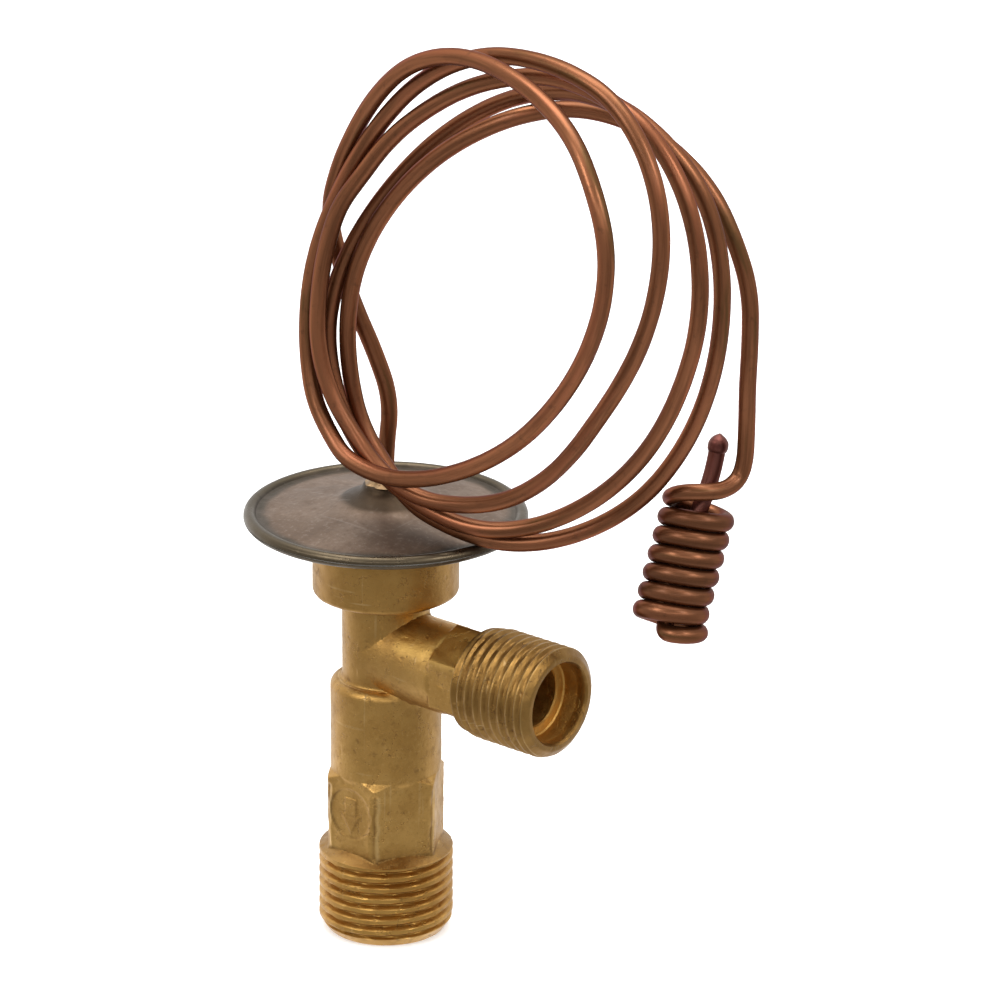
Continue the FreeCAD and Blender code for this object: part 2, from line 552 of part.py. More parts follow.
# charge tube: centre line as position and direction at each station, from
# the cap's boss through four loose loops to the close-wound sensing coil,
# and back up through the coil to the sealed tip
ROUTE = [
    (0.000, 0.000, 67.400, 0.00000, 0.00000, 1.00000),
    (-0.545, 0.031, 81.983, -0.27536, -0.16399, 0.94725),
    (-4.977, -2.756, 95.859, -0.23190, -0.16745, 0.95822),
    (-5.590, -4.430, 108.723, 0.28347, -0.00287, 0.95898),
    (1.096, -5.167, 121.325, 0.61029, -0.09924, 0.78594),
    (12.360, -6.743, 130.747, 0.90739, -0.09817, 0.40867),
    (26.765, -9.001, 132.996, 0.97207, -0.21780, -0.08742),
    (40.714, -12.652, 129.356, 0.86554, -0.26445, -0.42534),
    (50.561, -16.245, 119.247, 0.39928, -0.10517, -0.91078),
    (50.286, -16.060, 105.176, -0.35353, 0.09877, -0.93019),
    (42.644, -14.022, 92.582, -0.63198, 0.14971, -0.76039),
    (32.037, -11.974, 82.310, -0.79066, 0.11170, -0.60198),
    (19.193, -10.855, 74.927, -0.92383, 0.03261, -0.38142),
    (6.189, -10.870, 72.655, -0.99188, -0.01568, 0.12619),
    (0.496, -10.601, 74.724, -0.78570, 0.16083, 0.59733),
    (-5.475, -9.250, 82.437, -0.32418, 0.14999, 0.93403),
    (-6.617, -7.749, 96.931, 0.12205, 0.10665, 0.98678),
    (-2.294, -5.685, 111.020, 0.43095, 0.12573, 0.89357),
    (6.220, -4.657, 123.267, 0.68979, 0.01230, 0.72390),
    (18.479, -4.755, 131.610, 0.92868, -0.02284, 0.37018),
    (33.135, -5.329, 133.756, 0.99726, -0.04247, -0.06058),
    (46.318, -6.051, 129.150, 0.76632, -0.08946, -0.63620),
    (52.957, -6.973, 117.606, 0.17091, -0.03334, -0.98472),
    (51.278, -6.829, 102.934, -0.33992, 0.04176, -0.93953),
    (44.154, -6.013, 89.885, -0.57923, 0.06042, -0.81292),
    (34.872, -5.185, 78.235, -0.69736, 0.01823, -0.71649),
    (22.463, -5.952, 70.329, -0.95325, -0.11467, -0.27957),
    (9.526, -7.936, 70.308, -0.91635, -0.12577, 0.38010),
    (0.029, -9.195, 78.958, -0.55119, -0.12031, 0.82566),
    (-3.907, -9.580, 91.383, -0.04513, 0.07147, 0.99642),
    (-2.305, -8.087, 105.507, 0.26827, 0.14561, 0.95228),
    (2.783, -5.824, 114.814, 0.54442, 0.18219, 0.81879),
    (13.392, -3.399, 124.915, 0.82930, 0.12973, 0.54354),
    (27.112, -1.683, 130.267, 0.97900, 0.11109, 0.17094),
    (41.557, -0.372, 128.073, 0.89926, 0.08999, -0.42806),
    (51.170, 0.496, 117.984, 0.40310, 0.04367, -0.91411),
    (53.200, 1.359, 103.375, -0.11119, 0.06871, -0.99142),
    (48.790, 2.379, 89.215, -0.43094, 0.05952, -0.90042),
    (40.707, 2.461, 76.925, -0.66023, -0.07218, -0.74758),
    (29.587, -0.427, 68.016, -0.84519, -0.31082, -0.43479),
    (15.859, -5.201, 66.296, -0.95042, -0.20711, 0.23198),
    (2.832, -6.862, 72.672, -0.73930, -0.09216, 0.66703),
    (-1.751, -7.315, 79.034, -0.41299, -0.00473, 0.91072),
    (-4.085, -6.519, 93.361, 0.13160, 0.16145, 0.97807),
    (0.790, -3.116, 106.950, 0.46980, 0.28890, 0.83416),
    (9.333, 1.708, 118.187, 0.71150, 0.29074, 0.63972),
    (21.990, 3.145, 125.678, 0.93438, -0.08018, 0.34713),
    (36.117, 2.116, 127.918, 0.99349, 0.02254, -0.11169),
    (47.680, 4.395, 121.016, 0.58759, 0.26210, -0.76553),
    (52.028, 6.699, 109.566, 0.13087, 0.10555, -0.98576),
    (51.211, 7.892, 94.781, -0.22200, 0.06711, -0.97273),
    (45.866, 8.388, 80.900, -0.47741, -0.03658, -0.87792),
    (37.141, 5.866, 69.447, -0.71356, -0.33145, -0.61723),
    (25.406, -0.624, 63.906, -0.89873, -0.41924, -0.12855),
    (11.506, -4.232, 65.588, -0.93828, -0.13908, 0.31667),
    (1.737, -4.391, 73.125, -0.61810, -0.06793, 0.78316),
    (-2.027, -5.451, 86.208, -0.01070, -0.08069, 0.99668),
    (0.419, -5.468, 100.849, 0.34736, 0.11231, 0.93098),
    (8.224, -3.316, 113.208, 0.68223, 0.13721, 0.71814),
    (19.775, -0.394, 122.021, 0.81582, 0.36967, 0.44473),
    (31.264, 7.377, 124.065, 0.88010, 0.44822, -0.15661),
    (44.151, 10.976, 117.992, 0.75194, 0.15014, -0.64190),
    (51.108, 13.144, 105.690, 0.23020, 0.18047, -0.95626),
    (50.939, 15.165, 91.010, -0.15311, 0.13896, -0.97839),
    (49.341, 17.021, 78.955, -0.06314, 0.04790, -0.99685),
    (49.125, 17.025, 76.541, -0.11322, -0.09732, -0.98879),
    (48.874, 16.479, 74.649, -0.13250, -0.52026, -0.84366),
    (48.615, 14.839, 73.523, -0.13777, -0.94888, -0.28397),
    (48.181, 12.828, 73.246, -0.30203, -0.95327, -0.00789),
    (46.984, 10.622, 73.374, -0.68326, -0.72959, 0.02921),
    (44.785, 9.527, 73.062, -0.95174, -0.05117, -0.30262),
    (42.551, 10.114, 72.023, -0.77971, 0.42075, -0.46370),
    (40.633, 12.046, 70.606, -0.40742, 0.80585, -0.42967),
    (40.703, 15.099, 68.980, 0.44874, 0.78036, -0.43551),
    (43.698, 16.957, 67.766, 0.98217, 0.09887, -0.15989),
    (47.274, 15.643, 67.835, 0.67798, -0.71365, 0.17621),
    (48.255, 12.101, 68.842, -0.22095, -0.93547, 0.27583),
    (45.690, 9.266, 69.584, -0.93535, -0.35107, 0.04326),
    (41.933, 9.607, 69.046, -0.80783, 0.50265, -0.30783),
    (40.250, 12.603, 67.399, 0.02755, 0.88159, -0.47121),
    (42.191, 15.538, 65.733, 0.84987, 0.43571, -0.29644),
    (45.970, 15.580, 65.244, 0.90385, -0.42425, 0.05543),
    (48.278, 12.641, 65.992, 0.16685, -0.94641, 0.27653),
    (47.088, 9.161, 66.994, -0.71727, -0.67478, 0.17377),
    (43.350, 8.072, 67.032, -0.96940, 0.17508, -0.17205),
    (40.493, 10.238, 65.737, -0.35664, 0.82241, -0.44323),
    (40.950, 13.564, 63.935, 0.56829, 0.71457, -0.40797),
    (44.409, 14.997, 62.869, 0.99325, -0.07499, -0.08852),
    (47.691, 13.086, 63.186, 0.52798, -0.81994, 0.22123),
    (47.971, 9.436, 64.244, -0.39998, -0.88036, 0.25493),
    (44.907, 7.093, 64.789, -0.98270, -0.18351, -0.02501),
    (41.313, 8.074, 63.986, -0.68579, 0.63148, -0.36184),
    (40.296, 11.304, 62.238, 0.21117, 0.86019, -0.46421),
    (42.741, 13.818, 60.749, 0.92248, 0.30090, -0.24186),
    (46.582, 13.229, 60.509, 0.81074, -0.57349, 0.11754),
    (48.287, 9.940, 61.405, -0.02120, -0.95876, 0.28344),
    (46.445, 6.728, 62.305, -0.83502, -0.53730, 0.11856),
    (42.582, 6.303, 62.071, -0.90910, 0.34025, -0.24036),
    (40.242, 8.920, 60.587, -0.17688, 0.86813, -0.46376),
    (41.395, 12.102, 58.836, 0.70972, 0.60330, -0.36377),
    (45.117, 12.908, 58.025, 0.96942, -0.24467, -0.01875),
    (47.986, 10.458, 58.566, 0.36240, -0.89666, 0.25431),
    (47.554, 6.824, 59.625, -0.56342, -0.79581, 0.22192),
    (44.196, 5.053, 59.949, -0.99569, -0.03073, -0.08746),
    (40.798, 6.633, 58.889, -0.53675, 0.73891, -0.40731),
    (40.480, 9.976, 57.087, 0.39049, 0.80648, -0.44398),
    (43.423, 12.018, 55.787, 0.97528, 0.13544, -0.17462),
    (47.113, 10.770, 55.818, 0.68992, -0.70320, 0.17183),
    (48.153, 7.244, 56.818, -0.20501, -0.93874, 0.27702),
    (45.724, 4.406, 57.570, -0.92124, -0.38481, 0.05695),
    (41.950, 4.608, 57.089, -0.83005, 0.47298, -0.29546),
    (40.132, 7.623, 55.426, 0.01124, 0.88196, -0.47118),
    (42.015, 10.610, 53.776, 0.82882, 0.46677, -0.30852),
    (45.668, 11.023, 53.222, 0.94518, -0.32599, 0.01887),
    (47.795, 9.659, 53.522, 0.55288, -0.81193, 0.18732),
    (48.333, 7.965, 53.901, 0.14670, -0.96168, 0.23161),
    (48.004, 6.283, 54.259, -0.43414, -0.88255, 0.18064),
    (46.790, 5.216, 54.406, -0.94982, -0.31279, 0.00097),
    (45.324, 5.365, 54.418, -0.85438, 0.50514, 0.12194),
    (44.423, 6.401, 54.949, -0.33240, 0.72267, 0.60602),
    (44.168, 7.377, 56.059, -0.07514, 0.58031, 0.81092),
    (44.125, 8.294, 57.570, 0.01087, 0.46726, 0.88405),
    (44.182, 11.009, 64.004, -0.00268, 0.36692, 0.93025),
    (44.649, 16.709, 76.815, -0.02538, 0.28036, 0.95956),
]
nodes = [(Vector(0, 0, 65.7), Vector(0, 0, 1)), (Vector(0, 0, 67.4), Vector(0, 0, 1))]
nodes += [(Vector(*q[:3]), Vector(*q[3:]).normalize()) for q in ROUTE[1:]]
tube = swept("capillary_tube", nodes, DIM["tube_rad"], DIM["tube_bore"])
end, along = nodes[-1]
bead = turned("tip_bead", [
    (0, 0.005), ("tube_rad - 0.08", 0.005), ("bead_rad", 0.75), ("bead_rad - 0.05", 1.35),
    ("bead_rad - 0.55", 2.25), (0.28, 2.62), (0, 2.7)])
bead.Placement = Placement(end, Rotation(Vector(0, 0, 1), along))

# --------------------------------------------------------------- write out
PIECES = [body, lower_cup, upper_cap, diaphragm, head_spigot, head_seal, braze,
          thrust_pad, push_rod, rod_guide, rod_oring, valve_ball, ball_carrier,
          spring, spring_seat, nut, tube, bead]
doc.recompute()
bad = [o.Name for o in doc.Objects if "Invalid" in o.State or "Error" in o.State]
if bad:
    raise RuntimeError("failed objects: %s" % bad)
for o in PIECES:
    o.Label = o.Name
    if o.Shape.isNull() or not o.Shape.isValid() or len(o.Shape.Solids) != 1:
        raise RuntimeError("bad shape %s %s" % (o.Name, [len(o.Shape.Solids), o.Shape.isValid()]))
for o in PIECES:
    o.Shape.exportStep("parts/%s.step" % o.Label)
    b = o.Shape.BoundBox
    print("%-18s vol %9.2f  x %.2f..%.2f  y %.2f..%.2f  z %.2f..%.2f" % (
        o.Label, o.Shape.Volume, b.XMin, b.XMax, b.YMin, b.YMax, b.ZMin, b.ZMax))
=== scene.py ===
import bpy
import bmesh
import math
import numpy as np
from mathutils import Matrix, Vector
from mathutils.bvhtree import BVHTree


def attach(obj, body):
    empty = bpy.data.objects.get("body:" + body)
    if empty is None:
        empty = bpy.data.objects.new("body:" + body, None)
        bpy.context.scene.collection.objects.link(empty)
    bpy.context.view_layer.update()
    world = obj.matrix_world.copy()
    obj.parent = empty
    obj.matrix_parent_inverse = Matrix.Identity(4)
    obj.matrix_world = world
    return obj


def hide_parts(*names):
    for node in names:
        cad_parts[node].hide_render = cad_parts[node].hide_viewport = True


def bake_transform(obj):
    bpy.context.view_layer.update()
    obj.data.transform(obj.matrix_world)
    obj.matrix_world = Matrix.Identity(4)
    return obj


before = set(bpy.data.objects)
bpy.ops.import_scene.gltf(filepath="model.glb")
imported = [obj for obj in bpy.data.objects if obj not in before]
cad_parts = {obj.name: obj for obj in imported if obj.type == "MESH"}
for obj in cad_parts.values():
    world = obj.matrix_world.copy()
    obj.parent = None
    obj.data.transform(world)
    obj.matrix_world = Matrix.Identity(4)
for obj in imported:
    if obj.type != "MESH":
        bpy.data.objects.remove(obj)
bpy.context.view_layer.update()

MM = 0.001
PI = math.pi


# ------------------------------------------------------------------ helpers
def hash3(i, j, k, seed):
    n = (i * 374761393 + j * 668265263 + k * 2147483647 + seed * 974634777) & 0xFFFFFFFF
    n = ((n ^ (n >> 13)) * 1274126177) & 0xFFFFFFFF
    n = n ^ (n >> 16)
    return n.astype(np.float64) / 4294967295.0 * 2.0 - 1.0


def noise3(p, scale, seed=1):
    # smooth value noise of points p (n,3), features about `scale` across
    q = np.asarray(p, float) / scale + 1000.0
    i = np.floor(q).astype(np.int64)
    f = q - i
    u = f * f * f * (f * (f * 6 - 15) + 10)
    out = np.zeros(len(q))
    for dx in (0, 1):
        for dy in (0, 1):
            for dz in (0, 1):
                w = (u[:, 0] if dx else 1 - u[:, 0]) * (u[:, 1] if dy else 1 - u[:, 1]) * (u[:, 2] if dz else 1 - u[:, 2])
                out += w * hash3(i[:, 0] + dx, i[:, 1] + dy, i[:, 2] + dz, seed)
    return out


def sstep(a, b, x):
    t = np.clip((x - a) / (b - a), 0.0, 1.0)
    return t * t * (3 - 2 * t)


def smin(a, b, k):
    h = np.clip(0.5 + 0.5 * (b - a) / k, 0, 1)
    return b * (1 - h) + a * h - k * h * (1 - h)


def smax(a, b, k):
    return -smin(-a, -b, k)


def make_object(name, verts_mm, faces, smooth=38.0):
    me = bpy.data.meshes.new(name)
    me.from_pydata([tuple(v) for v in np.asarray(verts_mm, float) * MM], [], faces)
    me.validate(verbose=False)
    me.update()
    ob = bpy.data.objects.new(name, me)
    bpy.context.scene.collection.objects.link(ob)
    if smooth is not None:
        shade(ob, smooth)
    return ob


def shade(ob, angle):
    me = ob.data
    me.polygons.foreach_set("use_smooth", [True] * len(me.polygons))
    me.set_sharp_from_angle(angle=math.radians(angle))
    me.update()


def grid_faces(rows, cols, flip=False):
    fs = []
    for r in range(rows - 1):
        a, b = r * cols, (r + 1) * cols
        for c in range(cols):
            d = (c + 1) % cols
            q = (a + c, a + d, b + d, b + c)
            fs.append(q[::-1] if flip else q)
    return fs


def closed_grid(name, P, smooth=38.0, flip=False, fan=True):
    # P is (rows, cols, 3), rows run along the axis and columns wrap round it;
    # both ends are closed
    rows, cols = P.shape[:2]
    v = P.reshape(-1, 3)
    fs = grid_faces(rows, cols, flip)
    lo, hi = list(range(cols)), [(rows - 1) * cols + c for c in range(cols)]
    if flip:
        fs.append(tuple(lo))
        fs.append(tuple(hi[::-1]))
    else:
        fs.append(tuple(lo[::-1]))
        fs.append(tuple(hi))
    return make_object(name, v, fs, smooth)


def lathe(pts, cols, axis="Z", lift=0.0, start=0.0, closed_section=False):
    # surface of revolution from (radius, height) points, as a point grid
    pts = np.asarray(pts, float)
    th = start + np.arange(cols) * 2 * PI / cols
    r, h = pts[:, 0][:, None], pts[:, 1][:, None]
    c, s = np.cos(th)[None, :], np.sin(th)[None, :]
    if axis == "Z":
        return np.stack([r * c, r * s, h + 0 * c + lift], 2)
    # about +X: angle from +Y towards +Z keeps faces turned the same way
    return np.stack([h + 0 * c, r * c, r * s + lift], 2)


def ring_object(name, pts, cols, smooth=38.0, wobble=None):
    # ring-shaped solid: pts is a closed section (radius, height), listed
    # counter-clockwise with radius to the right and height up
    P = lathe(pts, cols)
    if wobble is not None:
        P = wobble(P)
    rows = len(pts)
    v = P.reshape(-1, 3)
    fs = []
    for r in range(rows):
        a, b = r * cols, ((r + 1) % rows) * cols
        for c in range(cols):
            d = (c + 1) % cols
            fs.append((a + c, a + d, b + d, b + c))
    return make_object(name, v, fs, smooth)


def arc_pts(c, r, a0, a1, n):
    # points on an arc about c, from angle a0 to a1 in degrees
    t = np.radians(np.linspace(a0, a1, n))
    return [(c[0] + r * math.cos(x), c[1] + r * math.sin(x)) for x in t]


def dense(pts, step):
    # straight runs divided so no step is longer than `step`
    out = [pts[0]]
    for a, b in zip(pts[:-1], pts[1:]):
        n = max(1, int(math.ceil(math.hypot(b[0] - a[0], b[1] - a[1]) / step)))
        for k in range(1, n + 1):
            out.append((a[0] + (b[0] - a[0]) * k / n, a[1] + (b[1] - a[1]) * k / n))
    return out


def normals_of(me):
    n = np.zeros(len(me.vertices) * 3)
    me.vertices.foreach_get("normal", n)
    return n.reshape(-1, 3)


def coords_of(me):
    c = np.zeros(len(me.vertices) * 3)
    me.vertices.foreach_get("co", c)
    return c.reshape(-1, 3)


def set_coords(me, co):
    me.vertices.foreach_set("co", np.asarray(co, float).ravel())
    me.update()


def boolean(a, b, op):
    # done at a thousand times the size, where the solver's tolerance suits
    for o in (a, b):
        o.data.transform(Matrix.Scale(1000.0, 4))
    m = a.modifiers.new("b", "BOOLEAN")
    m.object, m.operation, m.solver = b, op, "MANIFOLD"
    bpy.context.view_layer.update()
    dg = bpy.context.evaluated_depsgraph_get()
    new = bpy.data.meshes.new_from_object(a.evaluated_get(dg))
    new.transform(Matrix.Scale(0.001, 4))
    a.modifiers.clear()
    old = a.data
    a.data = new
    bpy.data.meshes.remove(old)
    bm_ = b.data
    bpy.data.objects.remove(b)
    bpy.data.meshes.remove(bm_)
    if not len(new.vertices):
        raise RuntimeError("empty result of " + op)
    return a


# --------------------------------------------------------------- the camera
PHI, TILT = math.radians(40.895), math.radians(20.397)


def turn(v):
    c, s = math.cos(PHI), math.sin(PHI)
    return Vector((c * v[0] - s * v[1], s * v[0] + c * v[1], v[2]))


CAM = turn((1.55171536, -777.78389722, 353.01266005))
FW = turn((0, math.cos(TILT), -math.sin(TILT)))
RT = turn((1, 0, 0))
UP = turn((0, math.sin(TILT), math.cos(TILT)))
cam_data = bpy.data.cameras.new("camera")
cam_data.sensor_width = 36.0
cam_data.lens = 216.0
cam_data.shift_x = 0.10294
cam_data.clip_start, cam_data.clip_end = 0.05, 30.0
cam = bpy.data.objects.new("camera", cam_data)
bpy.context.scene.collection.objects.link(cam)
cam.matrix_world = Matrix((
    (RT.x, UP.x, -FW.x, CAM.x * MM),
    (RT.y, UP.y, -FW.y, CAM.y * MM),
    (RT.z, UP.z, -FW.z, CAM.z * MM),
    (0, 0, 0, 1)))
bpy.context.scene.camera = cam


def ray(px, py):
    # from the camera through a pixel of the 1000 x 1000 frame, in mm
    d = FW + RT * ((px - 397.0623) / 6000.0) + UP * ((500.0 - py) / 6000.0)
    return CAM.copy(), d.normalized()


# ------------------------------------------------------- forged valve body
PITCH_O, PITCH_I = 1.5875, 25.4 / 18.0


def thread_cut(phase, flat=0.34, root=0.90):
    # depth of a worn 60-degree thread, 0 on the crest to 1 in the root;
    # phase is in pitches with the crest's middle at 0
    u = np.abs((phase + 0.5) % 1.0 - 0.5) * 2.0
    t = np.clip((u - flat) / (root - flat), 0.0, 1.0)
    lin = t
    soft = t * t * (3 - 2 * t)
    return 0.45 * lin + 0.55 * soft


def hex_radius(th, apothem, blunt, k):
    d = (th + PI / 6) % (PI / 3) - PI / 6          # 0 at a corner
    flat = PI / 6 - np.abs(d)                       # 0 at a flat's middle
    r = apothem / np.cos(flat)
    return smin(r, blunt + 0 * r, k)


COLS = 240
th = np.arange(COLS) * 2 * PI / COLS


def main_profile():
    # (z, cylinder radius, mode) rows up the valve's own axis
    rows = [(0.0, 8.30), (0.10, 8.43)]
    z = 0.10
    while z < 12.10:
        z += PITCH_O / 14.0
        rows.append((z, None))
    rows += [(zz, None) for zz in np.arange(12.20, 13.45, 0.09)]
    rows += [(zz, None) for zz in np.arange(13.5, 14.9, 0.30)]
    rows += [(zz, None) for zz in np.arange(15.0, 22.3, 0.16)]
    rows += [(zz, None) for zz in np.arange(22.4, 23.0, 0.25)]
    rows += [(zz, None) for zz in np.arange(23.0, 24.7, 0.10)]
    rows += [(zz, None) for zz in np.arange(24.9, 36.4, 0.50)]
    return rows


rows = main_profile()
P = []
for z, r0 in rows:
    if r0 is not None:
        rr = np.full(COLS, r0)
    else:
        crest = 9.475
        # crest height follows the helix; runs out under the hexagon
        ph = (z - 11.65) / 1.6125 - (th - math.radians(220.9)) / (2 * PI)
        depth = 0.76 * float(1.0 - sstep(11.6, 12.25, z))
        rthr = crest - depth * thread_cut(ph)
        lead = 8.43 + (z - 0.10) * (9.56 - 8.43) / 1.75
        if z < 2.6:
            rthr = smin(rthr, np.full(COLS, lead), 0.12)
        cone = 9.475 - max(0.0, z - 12.12) * 1.90
        body = np.full(COLS, 7.78)
        hx = hex_radius(th, 7.578, 8.66, 0.12)
        # corners die into the barrel under a 45-degree chamfer
        top = 8.75 - (z - 23.30) * 1.02
        cham = smin(hx, np.full(COLS, top), 0.06) if z > 22.6 else hx
        if z < 23.2:
            upper = hx
        else:
            w = float(sstep(23.3, 24.35, z))
            upper = smax(cham, body * w + (7.55) * (1 - w), 0.05)
        if z > 24.35:
            upper = body
        if z <= 12.12:
            rr = rthr
        else:
            rr = np.maximum(upper, np.full(COLS, cone))
            if z > 13.6:
                rr = upper
    P.append(np.stack([rr * np.cos(th), rr * np.sin(th), np.full(COLS, z)], 1))
tail = []
tail += arc_pts((6.50, 36.42), 1.28, 0, 90, 10)
tail += [(6.57, 37.70)] + arc_pts((6.62, 38.17), 0.47, 270, 180, 6)
tail += [(6.15, zz) for zz in np.arange(38.7, 49.6, 0.55)]
tail += arc_pts((6.75, 49.85), 0.60, 180, 90, 6)
tail += [(7.6, 50.45), (8.5, 50.45)] + arc_pts((9.42, 51.25), 0.80, 270, 360, 8)
tail += [(10.22, zz) for zz in np.arange(51.8, 58.1, 0.52)]
tail += [(10.22, 58.22), (10.14, 58.42), (9.95, 58.5)]
P = np.concatenate([np.array(P), lathe(tail, COLS)])
main = closed_grid("valve_body_forging", P, smooth=None)

# branch, about its own axis
AX = 41.75
ACOL = 168
ta = np.arange(ACOL) * 2 * PI / ACOL
Q = []
xs = list(np.arange(0.0, 12.2, 0.55)) + list(np.arange(12.2, 13.4, 0.12)) + list(np.arange(13.5, 17.2, 0.42)) + list(np.arange(17.3, 18.0, 0.10))
x = 18.0
while x < 30.95:
    xs.append(x)
    x += PITCH_I / 12.0
xs += [31.05, 31.2, 31.32, 31.42]
for x in xs:
    root = np.full(ACOL, 6.25)
    hx = hex_radius(ta - PI / 2, 6.05, 6.93, 0.10)
    w = float(sstep(12.45, 13.05, x))
    if x < 17.55:
        rr = root * (1 - w) + hx * w
    else:
        ph = (x - 18.81) / 1.455 - ta / (2 * PI)
        crest = 7.88 - 0.42 * float(1 - sstep(17.8, 20.6, x))
        depth = 0.46 * float(sstep(18.1, 19.2, x)) * float(1 - sstep(30.45, 30.95, x))
        rthr = crest - depth * thread_cut(ph, 0.14, 0.66)
        shoulder = 6.05 + (x - 17.50) * 2.6
        rthr = np.minimum(rthr, np.full(ACOL, max(6.3, shoulder)))
        rthr = np.maximum(rthr, hx if x < 17.9 else 0)
        end = 6.68 + (31.5 - x) * 1.35
        rr = smin(rthr, np.full(ACOL, end), 0.10)
    Q.append(np.stack([np.full(ACOL, x), rr * np.cos(ta), rr * np.sin(ta) + AX], 1))
Q.append(lathe([(6.64, 31.47)], ACOL, axis="X", lift=AX)[0])
Q.append(lathe([(6.52, 31.5)], ACOL, axis="X", lift=AX)[0])
Q = np.array(Q)
arm = closed_grid("branch", Q, smooth=None)


def swell(ob, dist, k):
    # rounds the root of a union: skin near the other solid moves outward
    me = ob.data
    co, nr = coords_of(me) / MM, normals_of(me)
    d = dist(co)
    h = np.clip((k - np.abs(d)) / k, 0, 1)
    set_coords(me, (co + nr * (h * h * k * 0.25)[:, None]) * MM)


def to_arm(p):
    r = np.hypot(p[:, 1], p[:, 2] - AX)
    return np.where(p[:, 0] > 0, r - 6.25, 9.0)


def to_main(p):
    r = np.hypot(p[:, 0], p[:, 1])
    z = p[:, 2]
    neck = r - 6.15
    barrel = np.hypot(np.maximum(r - 7.78, 0), np.maximum(z - 37.7, 0)) + np.minimum(np.maximum(r - 7.78, z - 37.7), 0)
    collar = np.hypot(np.maximum(r - 10.22, 0), np.maximum(50.45 - z, 0)) + np.minimum(np.maximum(r - 10.22, 50.45 - z), 0)
    return np.minimum(np.minimum(neck, barrel), collar)


swell(main, to_arm, 0.6)
swell(arm, to_main, 0.6)
body = boolean(main, arm, "UNION")

# passages, as one closed cutter: outlet mouth and spring chamber
BC = 120
bore_pts = [(0.0, -1.0), (6.95, -1.0), (6.95, 0.0), (6.78, 0.18)]
bore_pts += [(6.35, 0.62), (6.35, 13.6), (5.9, 14.05), (5.9, 32.6), (5.1, 33.4),
             (4.3, 33.4), (4.3, 35.7), (3.4, 36.6), (1.87, 36.6), (1.75, 36.72),
             (1.75, 38.2), (2.25, 38.7), (2.9, 38.7), (2.9, 46.2), (0.0, 46.2)]
cutter = closed_grid("cut_outlet", lathe(bore_pts[1:-1], BC), smooth=None)
body = boolean(body, cutter, "DIFFERENCE")
# inlet: flared mouth, machined counterbore, smaller bore into the gallery
side_pts = [(2.5, 1.2), (2.5, 9.2), (4.36, 10.1), (4.36, 27.05), (4.50, 27.28), (4.86, 27.36),
            (5.50, 27.44), (5.70, 27.62), (5.74, 27.9), (5.74, 29.62), (5.78, 29.74), (5.78, 29.94),
            (5.74, 30.06), (5.74, 30.95), (5.84, 31.25), (6.00, 31.50), (6.00, 32.5)]
cutter = closed_grid("cut_inlet", lathe(side_pts, 144, axis="X", lift=AX), smooth=None)
body = boolean(body, cutter, "DIFFERENCE")
# head recess and the rod's gland, seen only with the head off
top_pts = [(1.25, 46.0), (1.25, 49.4), (3.0, 49.4), (3.0, 53.2), (7.02, 53.2), (7.02, 59.5)]
cutter = closed_grid("cut_head", lathe(top_pts, 72), smooth=None)
body = boolean(body, cutter, "DIFFERENCE")
body.name = "valve_body_forging"
body.data.name = "valve_body_forging"

# clean up what the cuts left: doubled points and needle faces
bm = bmesh.new()
bm.from_mesh(body.data)
bmesh.ops.remove_doubles(bm, verts=bm.verts, dist=0.004 * MM)
bmesh.ops.dissolve_degenerate(bm, edges=bm.edges, dist=0.003 * MM)
bmesh.ops.recalc_face_normals(bm, faces=bm.faces)
# soften the groin where branch and column meet
soft = []
for v in bm.verts:
    x, y, z = (c / MM for c in v.co)
    if 0.2 < x < 9.5 and 33.0 < z < 51.0 and math.hypot(x, y) > 5.6:
        da = abs(math.hypot(y, z - AX) - 6.25)
        dm = min(abs(math.hypot(x, y) - 6.15), max(abs(math.hypot(x, y) - 7.78) if z < 38 else 9,
                                                   0) if z < 38 else 9, abs(z - 50.45) if z > 49 else 9,
                 abs(z - 37.7))
        if da < 0.75 and dm < 0.95:
            soft.append(v)
for _ in range(2):
    bmesh.ops.smooth_vert(bm, verts=soft, factor=0.5, use_axis_x=True, use_axis_y=True, use_axis_z=True)
bm.to_mesh(body.data)
bm.free()

# forging unevenness, pits and knocks, all in the mesh
me = body.data
co, nr = coords_of(me) / MM, normals_of(me)
rz = np.hypot(co[:, 0], co[:, 1])
ra = np.hypot(co[:, 1], co[:, 2] - AX)
on_arm = (co[:, 0] > 6.5) & (np.abs(co[:, 2] - AX) < 8.2) & (ra < 8.2)
threads = ((co[:, 2] < 12.0) & ~on_arm) | (on_arm & (co[:, 0] > 17.6))
inner = (~on_arm & (rz < 6.0)) | (on_arm & (ra < 5.9)) | (~on_arm & (rz < 7.06) & (co[:, 2] > 53.0)) | ((rz < 6.5) & (co[:, 2] < 13.5) & ~on_arm)
skin = np.where(inner, 0.0, np.where(threads, 0.18, 1.0))
dz = 0.045 * noise3(co, 5.2, 3) + 0.022 * noise3(co, 1.7, 5) + 0.010 * noise3(co, 0.62, 9)
# the thread crests are a little knocked and rounded
worn = np.where(threads & ~inner, 0.018 * noise3(co, 1.1, 17) + 0.03 * np.minimum(noise3(co, 2.4, 21) + 0.25, 0), 0.0)
co2 = co + nr * (dz * skin + worn)[:, None]
set_coords(me, co2 * MM)

# round flow mark with its arrow on the hexagon's front flat
co = coords_of(me) / MM
nr = normals_of(me)
MX, MZ, MR = -0.02, 19.02, 3.78
front = (np.abs(co[:, 1] + 7.58) < 0.35) & (co[:, 1] < 0) & (np.hypot(co[:, 0] - MX, co[:, 2] - MZ) < 5.2) & (nr[:, 1] < -0.7)
dx, dzz = co[:, 0] - MX, co[:, 2] - MZ
rr = np.hypot(dx, dzz)
depth = np.zeros(len(co))
